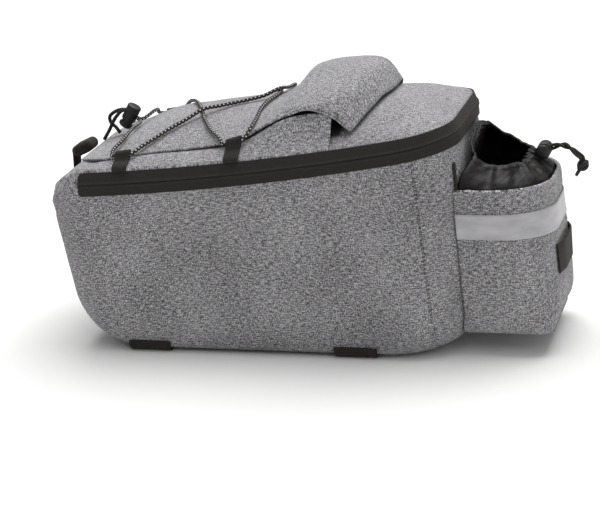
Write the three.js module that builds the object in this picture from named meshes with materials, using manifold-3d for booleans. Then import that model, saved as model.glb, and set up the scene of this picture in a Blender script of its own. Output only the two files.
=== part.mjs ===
// An insulated bag with two straps across its base. Grey padded walls and a domed lid are joined by a wide
// black zip. The lid carries a cover with a loose, lifted rear edge and an elastic lace, and a bottle pocket
// with a gathered black collar sits on the rear wall.
// Millimetres and degrees. +X runs to the pocket's end, +Z is up and -Y is the side that is called near.
import * as THREE from "three";
import { mergeVertices } from "three/addons/utils/BufferGeometryUtils.js";
import Module from "manifold-3d";

const wasm = await Module();
wasm.setup();

// Main compartment
const bagLength = 345.5; // front bulge to the rear wall's lowest point
const rimWidth = 175; // across the bag at the zip
const baseWidth = 162; // across the bag just above its base
const wallThickness = 5; // padded wall
const frontLean = 9.4; // of the front wall, its top forward
const rearLean = 4.1; // of the rear wall, its top forward
const frontHeelRadius = 40; // side view, front wall into base
const rearHeelRadius = 34; // side view, rear wall into base
const sideHeelRadius = 6; // end view, side wall into base
const frontCornerRadius = 30; // in plan
const rearCornerRadius = 45; // in plan

// Zip line, measured along its coil
const hingeHeight = 121; // where the lid folds on the front wall
const zipSetback = 32; // from the front bulge to the zip's front end
const zipHeightFront = 141.5;
const zipHeightRear = 181;
const zipStartSlope = 3.3; // of the zip at its front end
const tapeWidth = 7.4; // each half of the tape that shows
const tapeThickness = 1.2;
const coilWidth = 3.4;
const coilThickness = 1.3;
const coilGap = 0.7; // it bridges the ridge between the wall and the leaning lid
const sliderLength = 13;
const sliderWidth = 9;
const sliderThickness = 3.2;
const pullerLength = 24;
const pullerWidth = 6;

// Lid
const lidThickness = 4;
const lidLean = 3.5; // how far the lid's edge leans in over its half of the zip
const lidCrown = 24; // rise of the dome above the zip
const lidFrontRun = 110; // from the front edge to the top of the dome
const lidRearRun = 90; // from the rear edge to the top of the dome
const lidFrontRamp = 100; // length over which the front of the dome swells
const lidRoundness = 2; // power that turns the dome over: 1 is a straight slope

// Cover on the lid, its side gussets and the strip that holds it shut
const coverSetback = 20.5; // from the front bulge to the cover's front edge
const coverLength = 240.5; // front edge to the line between the rear corners
const coverWidth = 138; // between the fold lines
const coverThickness = 1.8;
const coverFlare = 3; // how much further out each rear corner reaches
const coverSkew = 6; // how far each rear corner sits ahead of or behind that line
const coverBow = 16; // how far the middle of the rear edge bows out behind that line
const flapRise = 25; // of the lifted flap above the lid
const gussetLength = 218.5; // from the cover's front edge
const hookStripWidth = 20;
const hookStripThickness = 1.2;

// Webbing
const webbingThickness = 1.6;
const laceLoopWidth = 12;
const laceEyeRadius = 2.4;
const laceEyeWall = 1;
const laceLoopFrontX = -106;
const laceLoopRearX = -13;
const frontTabWidth = 16; // across the bag
const frontTabLength = 19; // of the flattened loop
const frontTabHeight = 9.5;
const frontTabPitch = 25; // its rear end up
const frontTabStem = 8; // from the lid's front edge up to the loop
const frontTabSeam = 3; // how far the stem reaches below that edge
const baseStrapWidth = 34;
const baseStrapThickness = 1.8;
const baseStrapTurnUp = 7; // how far the strap climbs each side wall
const baseStrapFrontX = -91;
const baseStrapRearX = 81;

// Base
const basePanelThickness = 2;
const basePanelMargin = 7;

// Bottle pocket
const pocketDepth = 67; // from the rear wall's lowest point
const pocketWidth = 127;
const pocketWall = 3;
const pocketBottomHeight = 18;
const pocketRimHeight = 136;
const pocketCornerRadius = 50; // in plan at the rim
const stripBottomHeight = 97;
const stripHeight = 20;
const stripThickness = 0.6;
const lightLoopHeight = 23;
const lightLoopBottomHeight = 62;
const lightLoopSpan = 68;
const lightLoopStandoff = 5.5;
const bindingWidth = 5;
const bindingRise = 22;
const bindingEase = 0.2; // further off the wall's rounded corner

// Gathered collar of the pocket
const collarThickness = 1.3;
const collarTuck = 6; // how far the collar is sewn below the pocket's rim
const mouthLength = 49; // front to rear
const mouthWidth = 84;
const mouthHeightFront = 175;
const mouthHeightRear = 150;
const gatherCount = 14;
const gatherDepth = 2.2;
const wallGatherShare = 0.2; // of the gathers' depth that is left against the rear wall
const mouthWallPower = 3.5; // how square the mouth's oval is at the wall
const mouthRearPower = 2.4; // and at the rear

// Cords and cord locks
const laceDiameter = 3;
const drawstringDiameter = 2.6;
const lockDiameter = 12;
const lockBarrelLength = 13.5;
const lockFloor = 1.5;
const lockWall = 1;
const stemBridge = 1.5; // of the button's stem below its slot
const buttonRunningGap = 0.25;
const buttonHeadLength = 4;
const buttonTravel = 3;
const knotDiameter = 10;
const knotTailLength = 9;

// Gaps
const seamGap = 0.3; // between sewn or resting pieces
const clothGap = 0.9; // between loose layers of cloth

// Facets
const cornerSteps = 5;
const sideSteps = 7;
const endSteps = 2;
const cordSides = 8;
const eyeSides = 10;
const roundSides = 12;

// Places worked out from the sizes
const frontX = -bagLength / 2;
const rearX = bagLength / 2;
const zipFrontX = frontX + zipSetback;
const groundClearance = baseStrapThickness + seamGap;
const tan = (degrees) => Math.tan(THREE.MathUtils.degToRad(degrees));
const rimRearX = rearX - (zipHeightRear - rearHeelRadius) * tan(rearLean);
const bandHalf = coilWidth / 2 + seamGap + tapeWidth;
const zipRun = rimRearX - zipFrontX;
const zipCurve = (zipHeightRear - zipHeightFront - tan(zipStartSlope) * zipRun) / zipRun ** 2;
const hingeDroop = (zipHeightFront - tan(zipStartSlope) * zipSetback - hingeHeight) / zipSetback ** 2;
const point = (x, y, z) => new THREE.Vector3(x, y, z);
const smooth = (share) => THREE.MathUtils.smoothstep(share, 0, 1);

// Height of the zip's coil, and ahead of the zip of the fold that hinges the lid.
function zipHeight(x) {
  const run = x - zipFrontX;
  const bend = run > 0 ? zipCurve : -hingeDroop;
  return zipHeightFront + tan(zipStartSlope) * run + bend * run ** 2;
}

// How far a wall is drawn in by the rounding at its foot.
function heel(height, radius) {
  return height < radius ? radius - Math.sqrt(radius ** 2 - (radius - height) ** 2) : 0;
}

function frontWallX(height) {
  return frontX + Math.max(0, hingeHeight - height) * tan(frontLean) + heel(height, frontHeelRadius);
}

function rearWallX(height) {
  return rearX - Math.max(0, height - rearHeelRadius) * tan(rearLean) - heel(height, rearHeelRadius);
}

// Stations round a rectangle with rounded ends, from the middle of the front through -Y to the rear and
// back, each with its outward direction.
function roundedStations(x0, x1, halfWidth, frontRadius, rearRadius) {
  const stations = [];
  const straight = (ax, ay, bx, by, nx, ny, steps) => {
    for (let i = 0; i < steps; i++) {
      const t = i / steps;
      stations.push({ x: ax + (bx - ax) * t, y: ay + (by - ay) * t, nx, ny });
    }
  };
  const corner = (cx, cy, radius, startAngle) => {
    for (let i = 0; i < cornerSteps; i++) {
      const angle = startAngle + (Math.PI / 2) * (i / cornerSteps);
      const [nx, ny] = [Math.cos(angle), Math.sin(angle)];
      stations.push({ x: cx + radius * nx, y: cy + radius * ny, nx, ny });
    }
  };
  const [fx, rx] = [x0 + frontRadius, x1 - rearRadius];
  const [fy, ry] = [halfWidth - frontRadius, halfWidth - rearRadius];
  straight(x0, 0, x0, -fy, -1, 0, endSteps);
  corner(fx, -fy, frontRadius, Math.PI);
  straight(fx, -halfWidth, rx, -halfWidth, 0, -1, sideSteps);
  corner(rx, -ry, rearRadius, -Math.PI / 2);
  straight(x1, -ry, x1, ry, 1, 0, 2 * endSteps);
  corner(rx, ry, rearRadius, 0);
  straight(rx, halfWidth, fx, halfWidth, 0, 1, sideSteps);
  corner(fx, fy, frontRadius, Math.PI / 2);
  straight(x0, fy, x0, 0, -1, 0, endSteps);
  return stations;
}

// Stations of the main compartment's outer face at a share of the height up to the zip.
function bodyStations(share, inset = 0) {
  const middle = share * zipHeight(0);
  const spread = ((rimWidth - baseWidth) / 2) * share;
  const halfWidth = baseWidth / 2 + spread - heel(middle, sideHeelRadius) - inset;
  return roundedStations(
    frontWallX(share * hingeHeight) + inset,
    rearWallX(share * zipHeightRear) - inset,
    halfWidth,
    frontCornerRadius - inset,
    rearCornerRadius - inset,
  );
}

const rimStations = bodyStations(1);

// Faces a closed surface outwards.
function facedOutward(geometry) {
  const at = geometry.getAttribute("position");
  const index = geometry.index.array;
  const corner = [0, 1, 2].map(() => new THREE.Vector3());
  let volume = 0;
  for (let i = 0; i < index.length; i += 3) {
    corner.forEach((v, n) => v.fromBufferAttribute(at, index[i + n]));
    volume += corner[0].dot(corner[1].cross(corner[2]));
  }
  if (volume < 0) index.reverse();
  return geometry;
}

function surfaceOf(points, index) {
  const geometry = new THREE.BufferGeometry().setFromPoints(points);
  geometry.setIndex(index);
  return facedOutward(geometry);
}

// A closed skin over rings of points. The first and the last ring are closed by rungs between the points
// that mirror each other.
function loft(rings) {
  const count = rings[0].length;
  const index = [];
  for (let k = 0; k + 1 < rings.length; k++) {
    for (let i = 0; i < count; i++) {
      const [a, b] = [k * count + i, k * count + ((i + 1) % count)];
      index.push(a, b, b + count, a, b + count, a + count);
    }
  }
  const last = (rings.length - 1) * count;
  for (let i = 0; i < count / 2; i++) {
    const [next, across] = [i + 1, count - i - 1];
    const mirror = (count - i) % count;
    if (across > next) index.push(across, next, i, last + i, last + next, last + across);
    if (mirror > i) index.push(mirror, across, i, last + i, last + across, last + mirror);
  }
  return surfaceOf(rings.flat(), index);
}

// A closed skin whose last ring joins its first.
function hoop(rings) {
  const count = rings[0].length;
  const index = [];
  for (let k = 0; k < rings.length; k++) {
    for (let i = 0; i < count; i++) {
      const after = (k + 1) % rings.length;
      const [a, b] = [k * count + i, k * count + ((i + 1) % count)];
      const [c, d] = [after * count + ((i + 1) % count), after * count + i];
      index.push(a, b, c, a, c, d);
    }
  }
  return surfaceOf(rings.flat(), index);
}

// A closed sheet between two grids of points: rows of upper points over rows of lower ones.
function sheet(upper, lower) {
  const [rows, columns] = [upper.length, upper[0].length];
  const points = [...upper.flat(), ...lower.flat()];
  const under = rows * columns;
  const index = [];
  const quad = (a, b, c, d) => index.push(a, b, c, a, c, d);
  for (let i = 0; i + 1 < rows; i++) {
    for (let j = 0; j + 1 < columns; j++) {
      const a = i * columns + j;
      quad(a, a + columns, a + columns + 1, a + 1);
      quad(under + a, under + a + 1, under + a + columns + 1, under + a + columns);
    }
  }
  for (let i = 0; i + 1 < rows; i++) {
    const [a, b] = [i * columns, (i + 1) * columns];
    const [c, d] = [a + columns - 1, b + columns - 1];
    quad(a, under + a, under + b, b);
    quad(c, d, under + d, under + c);
  }
  for (let j = 0; j + 1 < columns; j++) {
    const far = (rows - 1) * columns + j;
    quad(j, j + 1, under + j + 1, under + j);
    quad(far, under + far, under + far + 1, far + 1);
  }
  return surfaceOf(points, index);
}

function solidOf(geometry) {
  const bare = new THREE.BufferGeometry().setAttribute("position", geometry.getAttribute("position").clone());
  if (geometry.index) bare.setIndex(geometry.index);
  const merged = mergeVertices(bare, 1e-4);
  const triVerts = [];
  for (let i = 0; i < merged.index.count; i += 3) {
    const [a, b, c] = merged.index.array.slice(i, i + 3);
    if (a !== b && b !== c && c !== a) triVerts.push(a, b, c);
  }
  return new wasm.Manifold(
    new wasm.Mesh({
      numProp: 3,
      vertProperties: merged.getAttribute("position").array,
      triVerts: new Uint32Array(triVerts),
    }),
  );
}

function geometryOf(solid) {
  const mesh = solid.getMesh();
  const geometry = new THREE.BufferGeometry();
  const places = new Float32Array(mesh.numVert * 3);
  for (let i = 0; i < mesh.numVert; i++) {
    places.set(mesh.vertProperties.subarray(i * mesh.numProp, i * mesh.numProp + 3), i * 3);
  }
  geometry.setAttribute("position", new THREE.BufferAttribute(places, 3));
  geometry.setIndex(new THREE.BufferAttribute(mesh.triVerts, 1));
  return geometry;
}

function cut(whole, ...tools) {
  return geometryOf(tools.reduce((left, tool) => left.subtract(solidOf(tool)), solidOf(whole)));
}

function joined(...pieces) {
  return geometryOf(pieces.map(solidOf).reduce((sum, piece) => sum.add(piece)));
}

// A flat outline pushed up along Z from a height.
function prism(shape, bottom, height) {
  const geometry = new THREE.ExtrudeGeometry(shape, { depth: height, bevelEnabled: false });
  return geometry.translate(0, 0, bottom);
}

// A rod along an axis from a start point.
function rod(start, direction, length, radius, sides = roundSides) {
  const geometry = new THREE.CylinderGeometry(radius, radius, length, sides);
  const turn = new THREE.Quaternion().setFromUnitVectors(point(0, 1, 0), direction.clone().normalize());
  geometry.translate(0, length / 2, 0).applyQuaternion(turn);
  return geometry.translate(start.x, start.y, start.z);
}

// A cord of a round section along a curve.
function cordAlong(curve, diameter, steps) {
  const section = new THREE.Shape();
  section.absarc(0, 0, diameter / 2, 0, 2 * Math.PI);
  return new THREE.ExtrudeGeometry(section, { steps, extrudePath: curve, curveSegments: cordSides / 2 });
}

// Main compartment: a padded tub, open at the zip, with a recess for the base panel.
const bodyShares = [0, 0.012, 0.04, 0.1, 0.18, 0.28, 0.45, 0.75, 1];
const innerShares = [1, 0.6, 0.25, 0.08];

function lifted(stations, share) {
  const span = (x) => zipHeight(x) - seamGap / 2 - groundClearance;
  return stations.map((s) => point(s.x, s.y, groundClearance + share * span(s.x)));
}

function bodyOuterRings(growth = 0) {
  return bodyShares.map((share) => lifted(bodyStations(share, -growth), share));
}

function basePanelShape(growth) {
  const outline = bodyStations(0, basePanelMargin - growth);
  return new THREE.Shape(outline.map((s) => new THREE.Vector2(s.x, s.y)));
}

function bodyShell() {
  const inner = innerShares.map((share) => lifted(bodyStations(share, wallThickness), share));
  const floor = bodyStations(0.04, wallThickness).map((s) =>
    point(s.x, s.y, groundClearance + wallThickness),
  );
  const tub = loft([...bodyOuterRings(), ...inner, floor]);
  const recess = prism(basePanelShape(seamGap), groundClearance - 1, basePanelThickness + seamGap + 1);
  return cut(tub, recess);
}

function basePanel() {
  return prism(basePanelShape(0), groundClearance, basePanelThickness);
}

// Straps across the base: each runs under it and turns up both sides.
function baseStrap(middleX) {
  const spread = ((rimWidth - baseWidth) / 2) * (baseStrapTurnUp / zipHeight(0));
  const half = baseWidth / 2 + spread + seamGap;
  const bend = sideHeelRadius + seamGap;
  const [outer, top] = [half + baseStrapThickness, groundClearance + baseStrapTurnUp];
  const centreUp = baseStrapThickness + bend;
  const outline = new THREE.Shape();
  outline.moveTo(-outer, top);
  outline.absarc(-half + bend, centreUp, bend + baseStrapThickness, Math.PI, 1.5 * Math.PI);
  outline.absarc(half - bend, centreUp, bend + baseStrapThickness, 1.5 * Math.PI, 2 * Math.PI);
  outline.lineTo(outer, top);
  outline.lineTo(half, top);
  outline.absarc(half - bend, centreUp, bend, 2 * Math.PI, 1.5 * Math.PI, true);
  outline.absarc(-half + bend, centreUp, bend, 1.5 * Math.PI, Math.PI, true);
  outline.lineTo(-half, top);
  const options = { depth: baseStrapWidth, bevelEnabled: false, curveSegments: 5 };
  const geometry = new THREE.ExtrudeGeometry(outline, options).rotateX(Math.PI / 2).rotateZ(Math.PI / 2);
  return geometry.translate(middleX - baseStrapWidth / 2, 0, 0);
}

// Zip: two halves of tape and the coil between them, wrapped round the sides and the rear.
const zipKeep = rimStations.flatMap((s, i) => (s.x > zipFrontX + 1 ? [i] : []));

// The wall's stations along the zip, at a height above or below its coil.
function zipPath(up) {
  const lean = Math.max(0, up / bandHalf) * lidLean;
  const stations = bodyStations(Math.min(1, 1 + up / zipHeight(0)), lean);
  const side = Math.max(...stations.map(({ y }) => y));
  return [
    { x: zipFrontX, y: -side, nx: 0, ny: -1 },
    ...zipKeep.map((i) => stations[i]),
    { x: zipFrontX, y: side, nx: 0, ny: 1 },
  ];
}

function zipStrip(low, high, thickness, gap = seamGap) {
  const edge = (up, out) =>
    zipPath(up).map(({ x, y, nx, ny }) => point(x + nx * out, y + ny * out, zipHeight(x) + up));
  const [near, far] = [gap, gap + thickness];
  const edges = [edge(high, far), edge(low, far), edge(low, near), edge(high, near)];
  return loft(edges[0].map((_, i) => edges.map((line) => line[i])));
}

// One slider, parked at the front end of the side away from the seams, with its puller hanging down.
function zipSlider() {
  const x = zipFrontX + sliderLength;
  const out = rimWidth / 2 + coilGap + coilThickness + seamGap;
  const slider = new THREE.BoxGeometry(sliderLength, sliderThickness, sliderWidth);
  slider.translate(x, out + sliderThickness / 2, zipHeight(x));
  const puller = new THREE.BoxGeometry(pullerWidth, sliderThickness / 2, pullerLength);
  puller.translate(x, out + sliderThickness, zipHeight(x) - pullerLength / 2);
  return joined(slider, puller);
}

// Lid: a padded dome, open underneath.
const lidInsets = [0, 0.05, 0.12, 0.22, 0.34, 0.48, 0.64, 0.8, 0.92];

function domeShare(inset) {
  return 1 - (1 - inset) ** lidRoundness;
}

function domeRise(x, inset) {
  return lidCrown * domeShare(inset) * smooth((x - frontX) / lidFrontRamp);
}

function lidRing(inset, draw, drop) {
  const keep = 1 - inset;
  const edge = lidLean + draw;
  const stations = roundedStations(
    frontX + edge + inset * (lidFrontRun - edge),
    rimRearX - edge - inset * (lidRearRun - edge),
    (rimWidth / 2 - edge) * keep,
    (frontCornerRadius - edge) * keep,
    (rearCornerRadius - edge) * keep,
  );
  return stations.map((s) => point(s.x, s.y, zipHeight(s.x) + bandHalf + domeRise(s.x, inset) - drop));
}

// Height of the dome's outer face at a place in plan, clear of the rounded corners.
function lidHeight(x, y) {
  const side = 1 - Math.abs(y) / (rimWidth / 2 - lidLean);
  const rear = (rimRearX - lidLean - x) / (lidRearRun - lidLean);
  const front = (x - frontX - lidLean) / (lidFrontRun - lidLean);
  const inset = THREE.MathUtils.clamp(Math.min(side, rear, front), 0, 1);
  return zipHeight(x) + bandHalf + domeRise(x, inset);
}

function lidShell() {
  const rim = (draw) =>
    bodyStations(1, draw).map((s) => point(s.x, s.y, zipHeight(s.x) + seamGap / 2));
  const outer = lidInsets.map((inset) => lidRing(inset, 0, 0));
  const isInner = (_, i) => i % 2 === 0;
  const inner = lidInsets.filter(isInner).map((inset) => lidRing(inset, lidThickness, lidThickness));
  return loft([...inner.reverse(), rim(lidThickness), rim(0), ...outer]);
}

// Cover: it lies on the dome in front, swells into a loose flap behind and comes back down to the strip
// that holds it. Shares: along its length, of its half width and of the flap's rise.
const coverSections = [
  { along: 0, width: 0.62, middle: 0, edge: 0 },
  { along: 0.03, width: 0.78, middle: 0, edge: 0 },
  { along: 0.08, width: 0.93, middle: 0, edge: 0 },
  { along: 0.15, width: 1, middle: 0, edge: 0 },
  { along: 0.26, width: 1, middle: 0.04, edge: 0 },
  { along: 0.38, width: 1, middle: 0.1, edge: 0 },
  { along: 0.5, width: 1, middle: 0.14, edge: 0.03 },
  { along: 0.6, width: 1, middle: 0.16, edge: 0.1 },
  { along: 0.68, width: 1, middle: 0.22, edge: 0.24 },
  { along: 0.73, width: 1, middle: 0.5, edge: 0.36 },
  { along: 0.78, width: 1, middle: 0.92, edge: 0.44 },
  { along: 0.83, width: 1, middle: 1, edge: 0.5 },
  { along: 0.88, width: 1, middle: 0.98, edge: 0.48 },
  { along: 0.93, width: 1, middle: 0.88, edge: 0.36 },
  { along: 0.97, width: 1, middle: 0.58, edge: 0.14 },
  { along: 1, width: 1, middle: 0.06, edge: 0 },
];
const coverColumns = 10;
const coverFrontX = frontX + coverSetback;
const coverBedFront = 3 * seamGap; // underside of the cover above the lid, ahead of the strip of hooks
const coverBedRear = hookStripThickness + 2 * seamGap;
const flapStartShare = 0.68;

// Shares of the flap's rise at a share of the cover's length, between the sections.
function coverLift(along, across) {
  const after = Math.max(1, coverSections.findIndex((s) => s.along >= Math.min(along, 1) - 1e-9));
  const [a, b] = [coverSections[after - 1], coverSections[after]];
  const t = THREE.MathUtils.clamp((along - a.along) / (b.along - a.along), 0, 1);
  const [middle, edge] = [a.middle + (b.middle - a.middle) * t, a.edge + (b.edge - a.edge) * t];
  return flapRise * (edge + (middle - edge) * (1 - across ** 2));
}

function coverBed(along) {
  return coverBedFront + (coverBedRear - coverBedFront) * smooth(along / flapStartShare);
}

function coverAlong(x) {
  return (x - coverFrontX) / coverLength;
}

// Underside height of the cover at a place in plan, ahead of its flared rear corners.
function coverHeight(x, y) {
  const along = coverAlong(x);
  const across = Math.min(1, Math.abs(y) / (coverWidth / 2));
  return lidHeight(x, y) + coverBed(along) + coverLift(along, across);
}

function coverSheet() {
  const rows = (rise) =>
    coverSections.map(({ along, width }) => {
      const loose = smooth((along - flapStartShare) / (1 - flapStartShare));
      const half = (coverWidth / 2) * width + coverFlare * loose;
      return Array.from({ length: coverColumns + 1 }, (_, j) => {
        const across = (2 * j) / coverColumns - 1;
        const spread = coverSkew * across + coverBow * (1 - across ** 2);
        const x = coverFrontX + coverLength * along + spread * loose;
        const y = half * across;
        return point(x, y, lidHeight(x, y) + coverBed(along) + coverLift(along, Math.abs(across)) + rise);
      });
    });
  return sheet(rows(coverThickness), rows(0));
}

// Gussets: the cloth between the zip's tape and the fold line of the cover.
const gussetOuterY = rimWidth / 2 - lidLean - 0.5;
const gussetInnerY = coverWidth / 2 + seamGap;

function gussetHeight(x, y) {
  const climb = (gussetOuterY - Math.abs(y)) / (gussetOuterY - gussetInnerY);
  const lift = Math.max(0, coverLift(coverAlong(x), 1) - coverThickness) * Math.max(0, climb) ** 1.5;
  return lidHeight(x, y) + clothGap + lift;
}

function gusset(side) {
  const [steps, columns] = [14, 3];
  const startX = frontX + frontCornerRadius;
  const endX = coverFrontX + gussetLength;
  const rows = (rise) =>
    Array.from({ length: steps + 1 }, (_, i) => {
      const x = startX + ((endX - startX) * i) / steps;
      return Array.from({ length: columns + 1 }, (_, j) => {
        const y = side * (gussetOuterY + ((gussetInnerY - gussetOuterY) * j) / columns);
        return point(x, y, gussetHeight(x, y) + rise);
      });
    });
  return sheet(rows(coverThickness), rows(0));
}

// Strip of hooks on the lid, under the flap's rear edge.
function hookStrip() {
  const [steps, columns] = [4, 10];
  const half = coverWidth / 2 + coverFlare / 2;
  const rows = (rise) =>
    Array.from({ length: steps + 1 }, (_, i) =>
      Array.from({ length: columns + 1 }, (_, j) => {
        const across = (2 * j) / columns - 1;
        const behind = coverFrontX + coverLength - 1.5 * hookStripWidth + coverSkew * across;
        const x = behind + (hookStripWidth * i) / steps;
        return point(x, half * across, lidHeight(x, half * across) + seamGap + rise);
      }),
    );
  return sheet(rows(hookStripThickness), rows(0));
}

// Loops that carry the lace: a strip up the gusset that ends in an eye above the fold line.
const laceEyeOuter = laceEyeRadius + laceEyeWall;

function eyeCentre(x, side) {
  const y = coverWidth / 2 + laceEyeOuter + 2 * seamGap;
  const slope = (gussetHeight(x, y - laceEyeOuter) - gussetHeight(x, y)) / laceEyeOuter;
  const clear = (laceEyeOuter + seamGap) * Math.hypot(1, slope);
  return point(x, side * y, gussetHeight(x, y) + coverThickness + clear);
}

function laceLoop(middleX, side) {
  const [steps, columns] = [2, 3];
  const rows = (rise) =>
    Array.from({ length: steps + 1 }, (_, i) => {
      const x = middleX + laceLoopWidth * (i / steps - 0.5);
      const eye = eyeCentre(x, side);
      return Array.from({ length: columns + 1 }, (_, j) => {
        const t = j / columns;
        const y = gussetOuterY + (Math.abs(eye.y) - gussetOuterY) * t;
        return point(x, side * y, gussetHeight(x, y) + coverThickness + seamGap + rise);
      });
    });
  const strip = sheet(rows(webbingThickness), rows(0));
  const [start, end] = [-0.5, 0.5].map((share) => eyeCentre(middleX + share * laceLoopWidth, side));
  const along = end.clone().sub(start);
  const barrel = rod(start, along, along.length(), laceEyeOuter, eyeSides);
  const overrun = along.clone().normalize();
  const bore = rod(start.clone().sub(overrun), along, along.length() + 2, laceEyeRadius, eyeSides);
  return cut(joined(strip, barrel), bore);
}

// Front tab: a flattened loop of webbing on a short stem, sewn in where the lid folds on the front wall.
function frontTab() {
  const outline = (inset) => {
    const radius = frontTabHeight / 2 - inset;
    const reach = frontTabLength / 2 - frontTabHeight / 2;
    const path = new THREE.Shape();
    path.absarc(reach, 0, radius, -Math.PI / 2, Math.PI / 2);
    path.absarc(-reach, 0, radius, Math.PI / 2, 1.5 * Math.PI);
    return path;
  };
  const loop = outline(0);
  loop.holes.push(outline(webbingThickness));
  const options = { depth: frontTabWidth, bevelEnabled: false, curveSegments: 6 };
  const ring = new THREE.ExtrudeGeometry(loop, options).translate(0, 0, -frontTabWidth / 2);
  ring.rotateX(Math.PI / 2).rotateY(-THREE.MathUtils.degToRad(frontTabPitch));
  const foot = frontTabLength / 2 - webbingThickness;
  const drop = frontTabSeam + frontTabStem + frontTabHeight / 2;
  const stem = new THREE.BoxGeometry(webbingThickness, frontTabWidth, drop);
  stem.translate(-foot, 0, -drop / 2 - foot * tan(frontTabPitch));
  const edgeHeight = zipHeight(frontX + lidLean) + bandHalf;
  const lean = lidLean * (1 - frontTabSeam / (edgeHeight - hingeHeight));
  const x = frontX + lean - seamGap - webbingThickness / 2 + foot;
  const z = edgeHeight + frontTabStem + frontTabHeight / 2 + foot * tan(frontTabPitch);
  return joined(ring, stem).translate(x, 0, z);
}

// Bottle pocket: a stiff cloth tub on the rear wall, boxy at its floor and round at its rim. Shares: up its
// height, of its depth, of its half width and of the corner radius.
const pocketSections = [
  { up: 0, depth: 0.85, width: 0.93, corner: 0.24 },
  { up: 0.03, depth: 0.92, width: 0.97, corner: 0.26 },
  { up: 0.1, depth: 0.985, width: 0.995, corner: 0.32 },
  { up: 0.3, depth: 1, width: 1, corner: 0.62 },
  { up: 0.6, depth: 0.975, width: 1, corner: 0.85 },
  { up: 1, depth: 0.915, width: 1, corner: 1 },
];
const pocketBury = 20; // how far the tub is drawn into the rear wall before it is trimmed to it

function pocketStations(height, growth) {
  const up = (height - pocketBottomHeight) / (pocketRimHeight - pocketBottomHeight);
  const after = Math.max(1, pocketSections.findIndex((s) => s.up >= Math.min(up, 1)));
  const [a, b] = [pocketSections[after - 1], pocketSections[after]];
  const t = (up - a.up) / (b.up - a.up);
  const mix = (name) => a[name] + (b[name] - a[name]) * t;
  return roundedStations(
    rearWallX(pocketRimHeight) - pocketBury,
    rearX + pocketDepth * mix("depth") + growth,
    (pocketWidth / 2) * mix("width") + growth,
    1,
    pocketCornerRadius * mix("corner") + growth,
  );
}

function pocketRing(height, growth) {
  return pocketStations(height, growth).map((s) => point(s.x, s.y, height));
}

function pocketTub() {
  const heightOf = ({ up }) => pocketBottomHeight + up * (pocketRimHeight - pocketBottomHeight);
  const outer = pocketSections.map((s) => pocketRing(heightOf(s), 0));
  const floorHeight = pocketBottomHeight + pocketWall;
  const above = pocketSections.map(heightOf).filter((height) => height > floorHeight + 1);
  const inner = above.reverse().map((height) => pocketRing(height, -pocketWall));
  return loft([...outer, ...inner, pocketRing(floorHeight, -pocketWall)]);
}

// The main compartment's outside, a little larger, that trims what is sewn on the rear wall.
function bodyBlank() {
  return loft(bodyOuterRings(seamGap));
}

function reflectiveStrip() {
  const [low, high] = [stripBottomHeight, stripBottomHeight + stripHeight];
  const [near, far] = [seamGap, seamGap + stripThickness];
  return hoop([pocketRing(low, far), pocketRing(high, far), pocketRing(high, near), pocketRing(low, near)]);
}

// Distance from a point on the middle plane to an outline in plan, in a direction.
function reachTo(outline, centreX, angle) {
  const [dx, dy] = [Math.cos(angle), Math.sin(angle)];
  let reach = 0;
  outline.forEach((a, i) => {
    const b = outline[(i + 1) % outline.length];
    const [ex, ey] = [b.x - a.x, b.y - a.y];
    const facing = dx * ey - dy * ex;
    const along = ((a.x - centreX) * ey - a.y * ex) / facing;
    const share = ((a.x - centreX) * dy - a.y * dx) / facing;
    const isHit = Number.isFinite(along) && along > 0 && share >= -1e-9 && share <= 1 + 1e-9;
    if (isHit) reach = Math.max(reach, along);
  });
  return reach;
}

// Loop for a rear light: webbing sewn at both ends and standing clear of the pocket's rear face between.
function lightLoop() {
  const columns = 14;
  const rows = (out) =>
    [lightLoopBottomHeight, lightLoopBottomHeight + lightLoopHeight].map((height) => {
      const outline = pocketStations(height, seamGap);
      return Array.from({ length: columns + 1 }, (_, j) => {
        const y = lightLoopSpan * (j / columns - 0.5);
        const hit = outline.findIndex((s, i) => i > 0 && s.x > rearX && s.y >= y && outline[i - 1].y < y);
        const [a, b] = [outline[hit - 1], outline[hit]];
        const x = a.x + ((b.x - a.x) * (y - a.y)) / (b.y - a.y);
        const bulge = smooth(4 * Math.min(j, columns - j) / columns) * lightLoopStandoff;
        return point(x + bulge + out, y, height);
      });
    });
  return sheet(rows(webbingThickness), rows(0));
}

// Collar: thin cloth sewn inside the pocket's rim and gathered to a mouth that is high at the wall and low
// at the rear. Shares: up to the mouth, of the way in, of the gathers' depth and of the hem's extra wall.
const collarSections = [
  { up: 0, draw: 0, gather: 0, hem: 0 },
  { up: 0.3, draw: 0.04, gather: 0.15, hem: 0 },
  { up: 0.52, draw: 0.2, gather: 0.6, hem: 0 },
  { up: 0.74, draw: 0.52, gather: 1, hem: 0 },
  { up: 0.92, draw: 0.84, gather: 1, hem: 0.6 },
  { up: 1, draw: 1, gather: 0.9, hem: 1 },
];
const hemExtra = 1.8;
const wallSide = -0.5; // cosine of the angle past which the collar lies against the rear wall
const collarStations = 4 * gatherCount;
const wallSteps = 8; // of the collar's foot along the wall, for each half
const collarFrontX = rearWallX(pocketRimHeight - collarTuck) + seamGap;
const mouthMiddleX = collarFrontX + mouthLength / 2;

function mouthHeight(x) {
  const back = THREE.MathUtils.clamp((x - collarFrontX) / mouthLength, 0, 1);
  return mouthHeightFront + (mouthHeightRear - mouthHeightFront) * (1 - (1 - back) ** 2);
}

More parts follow.
